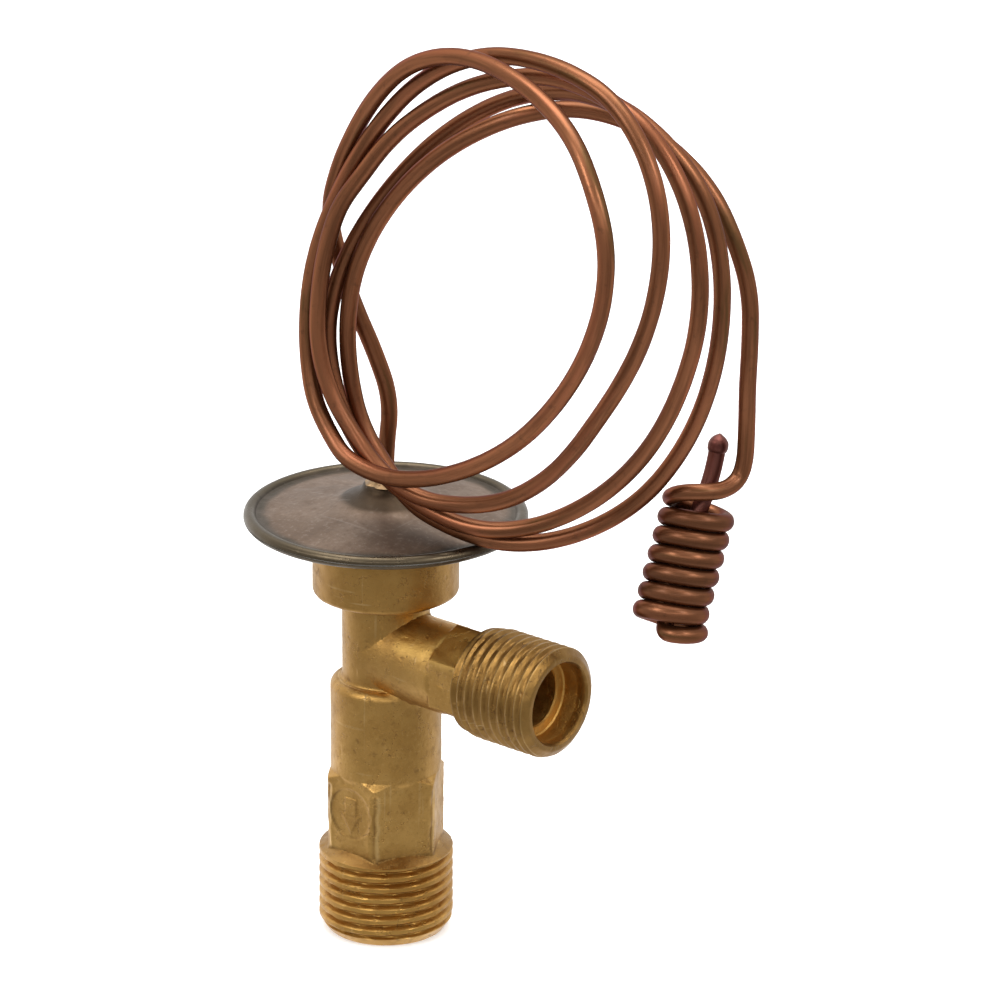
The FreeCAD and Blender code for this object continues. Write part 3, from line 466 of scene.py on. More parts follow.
# sunk disc with a raised lip outside it
depth -= 0.14 * (1 - sstep(MR - 0.34, MR + 0.02, rr))
depth += 0.06 * np.exp(-((rr - MR - 0.20) / 0.20) ** 2)


def box_sd(px, pz, cx, cz, hw, hh):
    qx, qz = np.abs(px - cx) - hw, np.abs(pz - cz) - hh
    return np.hypot(np.maximum(qx, 0), np.maximum(qz, 0)) + np.minimum(np.maximum(qx, qz), 0)


shaft = box_sd(dx, dzz, 0.0, 1.0, 1.05, 1.30)
# head of the arrow: triangle pointing down
tri = np.maximum(dzz + 0.20, (np.abs(dx) * 0.86 - (dzz + 3.05) * 0.52))
arrow = np.minimum(shaft, tri)
depth += 0.13 * (1 - sstep(-0.10, 0.12, arrow))
co[front] += (np.array([0, -1.0, 0])[None, :] * depth[front][:, None])
set_coords(me, co * MM)
# painted shade, with some dirt, along the mark's wall and the arrow's edge, heavier on the side away from the light
mark_dirt_and_shade = np.exp(-((rr - MR + 0.15) / 0.15) ** 2) * (0.35 + 0.65 * sstep(0.8, -1.6, dx + 0.5 * dzz))
mark_dirt_and_shade = np.maximum(mark_dirt_and_shade, 0.50 * np.exp(-((arrow + 0.02) / 0.13) ** 2) * sstep(-1.6, 0.4, dx - 0.3 * dzz))
mark_dirt_and_shade = np.where(front, mark_dirt_and_shade, 0.0)

# the die's joint leaves a flattened, slightly torn strip down each corner
co, nr = coords_of(me) / MM, normals_of(me)
rz = np.hypot(co[:, 0], co[:, 1])
azi = np.arctan2(co[:, 1], co[:, 0])
off = ((azi + PI / 6) % (PI / 3) - PI / 6) * rz
wav = 0.16 * noise3(np.stack([0 * rz, 0 * rz, co[:, 2]], 1), 1.6, 71)
off = off + wav
strip = (rz > 7.9) & (co[:, 2] > 12.6) & (co[:, 2] < 22.9)
fall = sstep(12.6, 13.4, co[:, 2]) * (1 - sstep(22.2, 22.9, co[:, 2]))
dent = -0.27 * np.exp(-(off / 0.46) ** 2) * (0.8 + 0.4 * noise3(co, 1.3, 73)) + 0.07 * np.exp(-((np.abs(off) - 0.80) / 0.20) ** 2)
co[strip] += nr[strip] * (dent * fall)[strip][:, None]
set_coords(me, co * MM)
# dirt and painted shade down the middle of each corner strip, and a painted highlight along one side of it
seam_dirt_and_shade = np.where(strip, fall * (np.exp(-((off + 0.05) / 0.24) ** 2) * (0.75 + 0.5 * noise3(co, 1.6, 79))), 0.0)
seam_highlight = np.where(strip, fall * np.exp(-((off - 0.48) / 0.20) ** 2), 0.0)
mark_dirt_and_shade = np.clip(np.maximum(mark_dirt_and_shade, seam_dirt_and_shade), 0.0, 1.0)

# small pits and knocks, placed on the skin where the camera's rays meet it
bvh = BVHTree.FromObject(body, bpy.context.evaluated_depsgraph_get())
PITS = [  # pixel x, pixel y, radius mm, depth mm
    (381.7, 629.4, 0.42, 0.16), (404.8, 638.0, 0.35, 0.12), (409.0, 634.5, 0.30, 0.10),
    (439.4, 687.0, 0.34, 0.20), (441.2, 690.5, 0.26, 0.16), (457.7, 704.4, 0.36, 0.18),
    (454.6, 705.5, 0.30, 0.14), (401.9, 697.7, 0.40, 0.12), (366.3, 727.5, 0.34, 0.11),
    (382.7, 663.0, 0.30, 0.09), (399.3, 763.0, 0.32, 0.12), (400.6, 768.4, 0.34, 0.12),
    (352.5, 597.0, 0.34, 0.12), (418.6, 594.0, 0.30, 0.10), (361.0, 585.0, 0.28, 0.10),
    (372.0, 704.0, 0.30, 0.08), (393.5, 791.0, 0.28, 0.12), (398.0, 846.0, 0.26, 0.12),
    (403.5, 846.5, 0.24, 0.11), (384.0, 853.0, 0.30, 0.07), (375.3, 807.0, 0.36, 0.12),
    (375.0, 799.0, 0.40, 0.12), (371.5, 806.0, 0.30, 0.09), (423.5, 822.0, 0.36, 0.08),
    (341.0, 752.0, 0.30, 0.10), (430.0, 733.0, 0.30, 0.09), (412.0, 745.0, 0.26, 0.08),
    (340.5, 749.0, 0.24, 0.09), (425.0, 640.0, 0.28, 0.07), (420.0, 711.0, 0.24, 0.07)]
co, nr = coords_of(me), normals_of(me)
for k, (px, py, rad, dep) in enumerate(PITS):
    o, d = ray(px, py)
    hit = bvh.ray_cast(o * MM, d)
    if hit[0] is None:
        continue
    c = np.array(hit[0])
    r = np.linalg.norm(co - c, axis=1) / MM
    near = r < rad * 2.2
    shape = np.exp(-(r / rad) ** 2 * 1.6)
    lip = 0.25 * np.exp(-((r - rad * 1.25) / (0.35 * rad)) ** 2)
    co[near] -= nr[near] * ((shape - lip) * dep)[near][:, None] * MM
# the rest of the skin gets a scatter of its own
rng = np.random.default_rng(11)
pick = rng.choice(len(co), 130, replace=False)
for i in pick:
    if inner[i] or (threads[i] and rng.random() < 0.7):
        continue
    rad, dep = 0.18 + 0.22 * rng.random(), 0.03 + 0.08 * rng.random()
    r = np.linalg.norm(co - co[i], axis=1) / MM
    near = r < rad * 2.0
    co[near] -= nr[near] * (np.exp(-(r / rad) ** 2 * 1.6) * dep)[near][:, None] * MM
co[:, 2] = np.maximum(co[:, 2], 0.0)
co[:, 0] = np.minimum(co[:, 0], 31.5 * MM)
set_coords(me, co)
shade(body, 30.0)
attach(body, "housing")
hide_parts("valve_body")
print("valve body", len(me.vertices), "verts", sum(len(p.vertices) - 2 for p in me.polygons), "tris")

# ------------------------------------------------------------- power head
HC = 224


def head_wobble(amount, seed):
    def f(P):
        rows_, cols_ = P.shape[:2]
        q = P.reshape(-1, 3)
        r = np.hypot(q[:, 0], q[:, 1])
        dz = amount * (noise3(q * np.array([1, 1, 0.0]), 7.5, seed) * sstep(6.5, 9.5, r) * (1 - 0.5 * sstep(16.0, 18.0, r)))
        q = q.copy()
        q[:, 2] += dz
        return q.reshape(rows_, cols_, 3)
    return f


upper_top = [(1.25, 66.50), (2.55, 66.50)] + arc_pts((2.62, 65.90), 0.60, 88, 8, 6)
upper_top += [(3.40, 65.66), (3.66, 65.42), (3.98, 65.19), (4.36, 64.97), (4.78, 64.76),
              (5.22, 64.56), (5.66, 64.37), (6.02, 64.22), (6.22, 64.12)]
upper_top += [(6.42, 64.02), (6.66, 63.91), (6.95, 63.80), (7.28, 63.69), (7.62, 63.59), (7.98, 63.50), (8.36, 63.43)]
upper_top += [(r, 63.41 - (r - 8.10) * 0.105 - ((r - 8.10) ** 2) * 0.0052) for r in np.arange(8.8, 15.9, 0.5)]
upper_top += [(16.0, 62.26), (16.5, 62.14), (17.0, 62.06), (17.5, 62.03), (17.85, 62.06)]
bead_up = arc_pts((18.83, 61.70), 0.925, 156, -3.6, 15)
under = [(19.0, 61.64), (17.4, 61.64), (15.6, 61.64), (14.0, 61.93), (12.2, 62.25), (10.2, 62.52), (8.15, 62.78),
         (7.4, 63.0), (6.7, 63.25), (4.8, 64.33), (2.9, 65.4), (1.9, 65.6), (1.25, 65.75)]
sec = dense(upper_top, 0.55) + bead_up + under
cap = ring_object("power_head_cap", sec[::-1], HC, 34.0, head_wobble(0.045, 31))
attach(cap, "housing")
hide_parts("upper_cap")

cup = [(5.22, 58.56), (9.0, 58.56), (12.2, 58.56), (12.7, 58.60), (13.1, 58.72), (14.0, 59.38), (15.0, 60.13),
       (15.9, 60.80), (16.3, 60.96), (16.8, 61.0), (17.5, 60.99), (17.95, 61.0)]
cup += arc_pts((18.83, 61.70), 0.925, 226, 347.5, 13)
cup += [(19.0, 61.5), (17.6, 61.5), (15.9, 61.5), (14.2, 60.4), (12.9, 59.6), (12.2, 59.38), (5.22, 59.36)]
lower = ring_object("power_head_cup", cup, HC, 34.0, None)
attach(lower, "housing")
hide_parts("lower_cup")

# brazed joint at the tube: a slumped cone, a little lumpy
br = [(1.21, 66.49), (3.02, 66.49), (2.86, 66.58), (2.62, 66.72), (2.34, 66.92), (2.05, 67.16), (1.78, 67.42),
      (1.55, 67.68), (1.40, 67.92), (1.29, 68.06), (1.21, 68.10)]


def lump(P):
    rows_, cols_ = P.shape[:2]
    q = P.reshape(-1, 3).copy()
    r = np.hypot(q[:, 0], q[:, 1])
    k = 1 + 0.15 * (noise3(q, 1.1, 41) - 0.25) * sstep(1.15, 1.6, r)
    q[:, 0] *= k
    q[:, 1] *= k
    q[:, 2] += 0.10 * noise3(q, 0.8, 43) * sstep(66.52, 66.8, q[:, 2])
    return q.reshape(rows_, cols_, 3)


fillet = ring_object("braze_cone", br, 72, 60.0, lump)
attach(fillet, "housing")
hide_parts("braze_fillet")

# ------------------------------------------------- formed copper charge tube
ROUTE = [
    (0.000, 0.000, 67.400, 0.00000, 0.00000, 1.00000),
    (-0.545, 0.031, 81.983, -0.27536, -0.16399, 0.94725),
    (-4.977, -2.756, 95.859, -0.23190, -0.16745, 0.95822),
    (-5.590, -4.430, 108.723, 0.28347, -0.00287, 0.95898),
    (1.096, -5.167, 121.325, 0.61029, -0.09924, 0.78594),
    (12.360, -6.743, 130.747, 0.90739, -0.09817, 0.40867),
    (26.765, -9.001, 132.996, 0.97207, -0.21780, -0.08742),
    (40.714, -12.652, 129.356, 0.86554, -0.26445, -0.42534),
    (50.561, -16.245, 119.247, 0.39928, -0.10517, -0.91078),
    (50.286, -16.060, 105.176, -0.35353, 0.09877, -0.93019),
    (42.644, -14.022, 92.582, -0.63198, 0.14971, -0.76039),
    (32.037, -11.974, 82.310, -0.79066, 0.11170, -0.60198),
    (19.193, -10.855, 74.927, -0.92383, 0.03261, -0.38142),
    (6.189, -10.870, 72.655, -0.99188, -0.01568, 0.12619),
    (0.496, -10.601, 74.724, -0.78570, 0.16083, 0.59733),
    (-5.475, -9.250, 82.437, -0.32418, 0.14999, 0.93403),
    (-6.617, -7.749, 96.931, 0.12205, 0.10665, 0.98678),
    (-2.294, -5.685, 111.020, 0.43095, 0.12573, 0.89357),
    (6.220, -4.657, 123.267, 0.68979, 0.01230, 0.72390),
    (18.479, -4.755, 131.610, 0.92868, -0.02284, 0.37018),
    (33.135, -5.329, 133.756, 0.99726, -0.04247, -0.06058),
    (46.318, -6.051, 129.150, 0.76632, -0.08946, -0.63620),
    (52.957, -6.973, 117.606, 0.17091, -0.03334, -0.98472),
    (51.278, -6.829, 102.934, -0.33992, 0.04176, -0.93953),
    (44.154, -6.013, 89.885, -0.57923, 0.06042, -0.81292),
    (34.872, -5.185, 78.235, -0.69736, 0.01823, -0.71649),
    (22.463, -5.952, 70.329, -0.95325, -0.11467, -0.27957),
    (9.526, -7.936, 70.308, -0.91635, -0.12577, 0.38010),
    (0.029, -9.195, 78.958, -0.55119, -0.12031, 0.82566),
    (-3.907, -9.580, 91.383, -0.04513, 0.07147, 0.99642),
    (-2.305, -8.087, 105.507, 0.26827, 0.14561, 0.95228),
    (2.783, -5.824, 114.814, 0.54442, 0.18219, 0.81879),
    (13.392, -3.399, 124.915, 0.82930, 0.12973, 0.54354),
    (27.112, -1.683, 130.267, 0.97900, 0.11109, 0.17094),
    (41.557, -0.372, 128.073, 0.89926, 0.08999, -0.42806),
    (51.170, 0.496, 117.984, 0.40310, 0.04367, -0.91411),
    (53.200, 1.359, 103.375, -0.11119, 0.06871, -0.99142),
    (48.790, 2.379, 89.215, -0.43094, 0.05952, -0.90042),
    (40.707, 2.461, 76.925, -0.66023, -0.07218, -0.74758),
    (29.587, -0.427, 68.016, -0.84519, -0.31082, -0.43479),
    (15.859, -5.201, 66.296, -0.95042, -0.20711, 0.23198),
    (2.832, -6.862, 72.672, -0.73930, -0.09216, 0.66703),
    (-1.751, -7.315, 79.034, -0.41299, -0.00473, 0.91072),
    (-4.085, -6.519, 93.361, 0.13160, 0.16145, 0.97807),
    (0.790, -3.116, 106.950, 0.46980, 0.28890, 0.83416),
    (9.333, 1.708, 118.187, 0.71150, 0.29074, 0.63972),
    (21.990, 3.145, 125.678, 0.93438, -0.08018, 0.34713),
    (36.117, 2.116, 127.918, 0.99349, 0.02254, -0.11169),
    (47.680, 4.395, 121.016, 0.58759, 0.26210, -0.76553),
    (52.028, 6.699, 109.566, 0.13087, 0.10555, -0.98576),
    (51.211, 7.892, 94.781, -0.22200, 0.06711, -0.97273),
    (45.866, 8.388, 80.900, -0.47741, -0.03658, -0.87792),
    (37.141, 5.866, 69.447, -0.71356, -0.33145, -0.61723),
    (25.406, -0.624, 63.906, -0.89873, -0.41924, -0.12855),
    (11.506, -4.232, 65.588, -0.93828, -0.13908, 0.31667),
    (1.737, -4.391, 73.125, -0.61810, -0.06793, 0.78316),
    (-2.027, -5.451, 86.208, -0.01070, -0.08069, 0.99668),
    (0.419, -5.468, 100.849, 0.34736, 0.11231, 0.93098),
    (8.224, -3.316, 113.208, 0.68223, 0.13721, 0.71814),
    (19.775, -0.394, 122.021, 0.81582, 0.36967, 0.44473),
    (31.264, 7.377, 124.065, 0.88010, 0.44822, -0.15661),
    (44.151, 10.976, 117.992, 0.75194, 0.15014, -0.64190),
    (51.108, 13.144, 105.690, 0.23020, 0.18047, -0.95626),
    (50.939, 15.165, 91.010, -0.15311, 0.13896, -0.97839),
    (49.341, 17.021, 78.955, -0.06314, 0.04790, -0.99685),
    (49.125, 17.025, 76.541, -0.11322, -0.09732, -0.98879),
    (48.874, 16.479, 74.649, -0.13250, -0.52026, -0.84366),
    (48.615, 14.839, 73.523, -0.13777, -0.94888, -0.28397),
    (48.181, 12.828, 73.246, -0.30203, -0.95327, -0.00789),
    (46.984, 10.622, 73.374, -0.68326, -0.72959, 0.02921),
    (44.785, 9.527, 73.062, -0.95174, -0.05117, -0.30262),
    (42.551, 10.114, 72.023, -0.77971, 0.42075, -0.46370),
    (40.633, 12.046, 70.606, -0.40742, 0.80585, -0.42967),
    (40.703, 15.099, 68.980, 0.44874, 0.78036, -0.43551),
    (43.698, 16.957, 67.766, 0.98217, 0.09887, -0.15989),
    (47.274, 15.643, 67.835, 0.67798, -0.71365, 0.17621),
    (48.255, 12.101, 68.842, -0.22095, -0.93547, 0.27583),
    (45.690, 9.266, 69.584, -0.93535, -0.35107, 0.04326),
    (41.933, 9.607, 69.046, -0.80783, 0.50265, -0.30783),
    (40.250, 12.603, 67.399, 0.02755, 0.88159, -0.47121),
    (42.191, 15.538, 65.733, 0.84987, 0.43571, -0.29644),
    (45.970, 15.580, 65.244, 0.90385, -0.42425, 0.05543),
    (48.278, 12.641, 65.992, 0.16685, -0.94641, 0.27653),
    (47.088, 9.161, 66.994, -0.71727, -0.67478, 0.17377),
    (43.350, 8.072, 67.032, -0.96940, 0.17508, -0.17205),
    (40.493, 10.238, 65.737, -0.35664, 0.82241, -0.44323),
    (40.950, 13.564, 63.935, 0.56829, 0.71457, -0.40797),
    (44.409, 14.997, 62.869, 0.99325, -0.07499, -0.08852),
    (47.691, 13.086, 63.186, 0.52798, -0.81994, 0.22123),
    (47.971, 9.436, 64.244, -0.39998, -0.88036, 0.25493),
    (44.907, 7.093, 64.789, -0.98270, -0.18351, -0.02501),
    (41.313, 8.074, 63.986, -0.68579, 0.63148, -0.36184),
    (40.296, 11.304, 62.238, 0.21117, 0.86019, -0.46421),
    (42.741, 13.818, 60.749, 0.92248, 0.30090, -0.24186),
    (46.582, 13.229, 60.509, 0.81074, -0.57349, 0.11754),
    (48.287, 9.940, 61.405, -0.02120, -0.95876, 0.28344),
    (46.445, 6.728, 62.305, -0.83502, -0.53730, 0.11856),
    (42.582, 6.303, 62.071, -0.90910, 0.34025, -0.24036),
    (40.242, 8.920, 60.587, -0.17688, 0.86813, -0.46376),
    (41.395, 12.102, 58.836, 0.70972, 0.60330, -0.36377),
    (45.117, 12.908, 58.025, 0.96942, -0.24467, -0.01875),
    (47.986, 10.458, 58.566, 0.36240, -0.89666, 0.25431),
    (47.554, 6.824, 59.625, -0.56342, -0.79581, 0.22192),
    (44.196, 5.053, 59.949, -0.99569, -0.03073, -0.08746),
    (40.798, 6.633, 58.889, -0.53675, 0.73891, -0.40731),
    (40.480, 9.976, 57.087, 0.39049, 0.80648, -0.44398),
    (43.423, 12.018, 55.787, 0.97528, 0.13544, -0.17462),
    (47.113, 10.770, 55.818, 0.68992, -0.70320, 0.17183),
    (48.153, 7.244, 56.818, -0.20501, -0.93874, 0.27702),
    (45.724, 4.406, 57.570, -0.92124, -0.38481, 0.05695),
    (41.950, 4.608, 57.089, -0.83005, 0.47298, -0.29546),
    (40.132, 7.623, 55.426, 0.01124, 0.88196, -0.47118),
    (42.015, 10.610, 53.776, 0.82882, 0.46677, -0.30852),
    (45.668, 11.023, 53.222, 0.94518, -0.32599, 0.01887),
    (47.795, 9.659, 53.522, 0.55288, -0.81193, 0.18732),
    (48.333, 7.965, 53.901, 0.14670, -0.96168, 0.23161),
    (48.004, 6.283, 54.259, -0.43414, -0.88255, 0.18064),
    (46.790, 5.216, 54.406, -0.94982, -0.31279, 0.00097),
    (45.324, 5.365, 54.418, -0.85438, 0.50514, 0.12194),
    (44.423, 6.401, 54.949, -0.33240, 0.72267, 0.60602),
    (44.168, 7.377, 56.059, -0.07514, 0.58031, 0.81092),
    (44.125, 8.294, 57.570, 0.01087, 0.46726, 0.88405),
    (44.182, 11.009, 64.004, -0.00268, 0.36692, 0.93025),
    (44.649, 16.709, 76.815, -0.02538, 0.28036, 0.95956),
]

def biarc_join(p0, t0, p1, t1):
    v, t = p1 - p0, t0 + t1
    den = 2.0 * (1.0 - t0.dot(t1))
    vt = v.dot(t)
    if abs(den) < 1e-9:
        d = v.dot(v) / (4.0 * v.dot(t1))
    else:
        d = (-vt + math.sqrt(vt * vt + den * v.dot(v))) / den
    return (p0 + p1 + (t0 - t1) * d) * 0.5


def arc_run(a, ta, b, step):
    chord = b - a
    L = chord.length
    u = chord / L
    cosb = max(-1.0, min(1.0, ta.dot(u)))
    side = u - ta * cosb
    if side.length < 1e-5:
        n = max(1, int(math.ceil(L / step)))
        return [a + chord * (k / n) for k in range(1, n + 1)], [ta.copy() for _ in range(n)]
    beta = math.atan2(side.length, cosb)
    side.normalize()
    R = L / 2.0 / math.sin(beta)
    total = 2.0 * beta
    n = max(1, int(math.ceil(total * R / step)), int(math.ceil(total / math.radians(13))))
    pts, tans = [], []
    for k in range(1, n + 1):
        s = total * k / n
        pts.append(a + ta * (R * math.sin(s)) + side * (R * (1 - math.cos(s))))
        tans.append((ta * math.cos(s) + side * math.sin(s)).normalized())
    return pts, tans


stations = [(Vector((0, 0, 65.7)), Vector((0, 0, 1))), (Vector((0, 0, 67.4)), Vector((0, 0, 1)))]
stations += [(Vector(q[:3]), Vector(q[3:]).normalized()) for q in ROUTE[1:]]
cps, cts = [stations[0][0]], [stations[0][1]]
for (p0, t0), (p1, t1) in zip(stations[:-1], stations[1:]):
    if (p1 - p0).cross(t0).length < 1e-6 and t0.cross(t1).length < 1e-6:
        n = max(1, int((p1 - p0).length / 0.7))
        for k in range(1, n + 1):
            cps.append(p0 + (p1 - p0) * (k / n))
            cts.append(t0.copy())
        continue
    j = biarc_join(p0, t0, p1, t1)
    a1, b1 = arc_run(p0, t0, j, 0.75)
    cps += a1
    cts += b1
    u = (p1 - j).normalized()
    tj = u * (2.0 * u.dot(t1)) - t1
    a2, b2 = arc_run(j, tj.normalized(), p1, 0.75)
    cps += a2
    cts += b2
NP = len(cps)
TC = 20
arclen = np.concatenate([[0], np.cumsum([(b - a).length for a, b in zip(cps[:-1], cps[1:])])])
nrm = Vector((1, 0, 0))
nrm = (nrm - cts[0] * nrm.dot(cts[0])).normalized()
rings, prev = [], cts[0]
for p, t in zip(cps, cts):
    axis = prev.cross(t)
    if axis.length > 1e-9:
        ang = math.atan2(axis.length, prev.dot(t))
        nrm = Matrix.Rotation(ang, 3, axis.normalized()) @ nrm
    nrm = (nrm - t * nrm.dot(t)).normalized()
    bi = t.cross(nrm)
    rings.append([[p[c] + 1.0 * (nrm[c] * math.cos(a) + bi[c] * math.sin(a)) for c in range(3)]
                  for a in [2 * PI * k / TC for k in range(TC)]])
    prev = t
rings = np.array(rings)
centre = np.array([tuple(p) for p in cps])
out = rings - centre[:, None, :]
flat = centre.reshape(-1, 3)
wob = 1.0 + 0.012 * noise3(np.stack([arclen, 0 * arclen, 0 * arclen], 1), 6.0, 51)
rad = np.minimum(1.182 * wob, 1.188)
wound = sstep(928.0, 936.0, arclen) * (1 - sstep(1086.0, 1092.0, arclen))
coil_axis = np.array([0.00894, 0.37918, 0.92528])
along = (out @ coil_axis)[:, :, None] * coil_axis
out = out + wound[:, None, None] * (0.076 * along - 0.035 * (out - along))
tubeP = centre[:, None, :] + out * rad[:, None, None]
fine = noise3(tubeP.reshape(-1, 3), 1.3, 53).reshape(NP, TC)
tubeP = tubeP - out * (0.012 * (fine + 1.0) * 0.5)[:, :, None]
tube = closed_grid("charge_tube", tubeP, smooth=50.0)
# length along the tube and angle round it, for streaks that run with it
att = tube.data.attributes.new("run", "FLOAT_VECTOR", "POINT")
vals = np.zeros((NP * TC, 3))
ang = 2 * PI * np.arange(TC) / TC
vals[:, 0] = np.repeat(arclen, TC)
vals[:, 1] = np.tile(np.cos(ang), NP)
vals[:, 2] = np.tile(np.sin(ang), NP)
att.data.foreach_set("vector", vals.ravel())
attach(tube, "housing")
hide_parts("capillary_tube")
print("tube length", round(float(arclen[-1]), 1), "verts", len(tube.data.vertices))

# sealed end: pinched, then a pointed bead of filler
e0, e1 = cps[-1], cts[-1]
tip_pts = [(0.60, -0.35), (1.10, -0.30), (1.14, 0.0), (1.25, 0.16), (1.37, 0.38), (1.44, 0.68), (1.455, 1.0), (1.43, 1.30), (1.34, 1.58),
           (1.18, 1.84), (0.98, 2.06), (0.74, 2.26), (0.50, 2.42), (0.30, 2.54), (0.13, 2.63), (0.03, 2.67)]
TP = lathe(tip_pts, 40)
q = TP.reshape(-1, 3).copy()
k = 1 - 0.05 * (noise3(q, 0.9, 61) + 0.6) * sstep(0.1, 0.6, q[:, 2])
q[:, 0] *= k
q[:, 1] *= k
rot = Vector((0, 0, 1)).rotation_difference(e1).to_matrix()
q = np.array([tuple(rot @ Vector(v) + e0) for v in q])
bead = closed_grid("tip_bead_sealed", q.reshape(TP.shape), smooth=60.0)
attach(bead, "housing")
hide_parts("tip_bead")

# the spring is one wire in two runs: the lower one closes up with its seat,
# the upper one with the ball's carrier
SN = np.linspace(0.0, 6.5, 313)
S_LO, S_HI, S_END = 21.75, 31.75, 0.94
S_MID = (S_HI - S_LO - 2 * S_END) / 4.5


def coil_height(n):
    return np.where(n < 1.0, S_LO + S_END * n,
                    np.where(n > 5.5, S_HI - S_END * (6.5 - n), S_LO + S_END + S_MID * (n - 1.0)))


half = np.minimum(0.25, np.minimum(SN, 6.5 - SN))
sz = np.mean([coil_height(SN - half + 2 * half * (i + 0.5) / 12) for i in range(12)], axis=0)
sa = 2 * PI * SN
sc = np.stack([3.55 * np.cos(sa), 3.55 * np.sin(sa), sz], 1)
st = np.gradient(sc, axis=0)
st /= np.linalg.norm(st, axis=1)[:, None]
sn = np.stack([np.cos(sa), np.sin(sa), 0 * sa], 1)
sb = np.cross(st, sn)
sf = 2 * PI * np.arange(18) / 18
SP = sc[:, None, :] + 0.448 * (sn[:, None, :] * np.cos(sf)[None, :, None] + sb[:, None, :] * np.sin(sf)[None, :, None])
cut_row = int(np.searchsorted(sz, 28.0))
spring_low = closed_grid("spring_lower_turns", SP[:cut_row + 1], smooth=50.0)
spring_up = closed_grid("spring_upper_turns", SP[cut_row:], smooth=50.0)
for ob in (spring_low, spring_up):
    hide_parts("superheat_spring")
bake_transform(spring_low)
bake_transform(spring_up)

# ------------------------------------------------ surface facts for shading
def cavity(ob, name="cav", grow=2):
    # how hollow the skin is at each point: positive in grooves and pits
    me_ = ob.data
    n_ = len(me_.vertices)
    ed = np.zeros(len(me_.edges) * 2, np.int64)
    me_.edges.foreach_get("vertices", ed)
    ed = ed.reshape(-1, 2)
    c_, nn = coords_of(me_) / MM, normals_of(me_)
    acc, cnt = np.zeros(n_), np.zeros(n_)
    dvec = c_[ed[:, 1]] - c_[ed[:, 0]]
    ln = np.linalg.norm(dvec, axis=1) + 1e-6
    w = 1.0 / ln
    up0 = (dvec * nn[ed[:, 0]]).sum(1) / ln
    up1 = -(dvec * nn[ed[:, 1]]).sum(1) / ln
    np.add.at(acc, ed[:, 0], up0 * w)
    np.add.at(acc, ed[:, 1], up1 * w)
    np.add.at(cnt, ed[:, 0], w)
    np.add.at(cnt, ed[:, 1], w)
    val = acc / np.maximum(cnt, 1e-9)
    for _ in range(grow):
        s, k_ = val.copy(), np.ones(n_)
        np.add.at(s, ed[:, 0], val[ed[:, 1]])
        np.add.at(s, ed[:, 1], val[ed[:, 0]])
        np.add.at(k_, ed[:, 0], 1)
        np.add.at(k_, ed[:, 1], 1)
        val = s / k_
    at = me_.attributes.new(name, "FLOAT", "POINT")
    at.data.foreach_set("value", val)
    return val


def point_value(ob, name, values):
    at = ob.data.attributes.new(name, "FLOAT", "POINT")
    at.data.foreach_set("value", np.asarray(values, float))


cavity(body)
co = coords_of(me) / MM
rz = np.hypot(co[:, 0], co[:, 1])
ra = np.hypot(co[:, 1], co[:, 2] - AX)
on_arm = (co[:, 0] > 6.5) & (np.abs(co[:, 2] - AX) < 8.2) & (ra < 8.2)
cut_skin = np.maximum(
    np.where(~on_arm, 1 - sstep(11.9, 12.5, co[:, 2]), 0.0),
    np.where(on_arm, sstep(17.5, 18.1, co[:, 0]), 0.0))
cut_skin = np.maximum(cut_skin, np.where(on_arm & (ra < 5.9), 1.0, 0.0))
point_value(body, "cut", cut_skin)
# painted shade deep inside the bores
bore_shade = np.where(on_arm, np.where(ra < 4.7, 1 - sstep(19.0, 27.2, co[:, 0]), 0.0), 0.0)
bored = np.where(on_arm & (ra < 5.95), 1 - sstep(30.7, 31.1, co[:, 0]), 0.0)
bored = np.maximum(bored, np.where(~on_arm & (rz < 6.6) & (co[:, 2] < 36.8), 1.0, 0.0))
point_value(body, "bored", bored)
point_value(body, "mark_dirt_and_shade", mark_dirt_and_shade)
point_value(body, "seam_highlight", np.clip(seam_highlight, 0, 1))
# painted shade on the ledge between the outlet thread and the hexagon
ledge_shade = sstep(11.95, 12.25, co[:, 2]) * (1 - sstep(12.9, 13.5, co[:, 2])) * np.where(~on_arm & (rz > 7.6), 1.0, 0.0)
point_value(body, "ledge_shade", ledge_shade)
bore_shade = np.maximum(bore_shade, np.where(~on_arm & (rz < 6.6) & (co[:, 2] < 36.8), sstep(2.0, 14.0, co[:, 2]), 0.0))
point_value(body, "bore_shade", bore_shade)


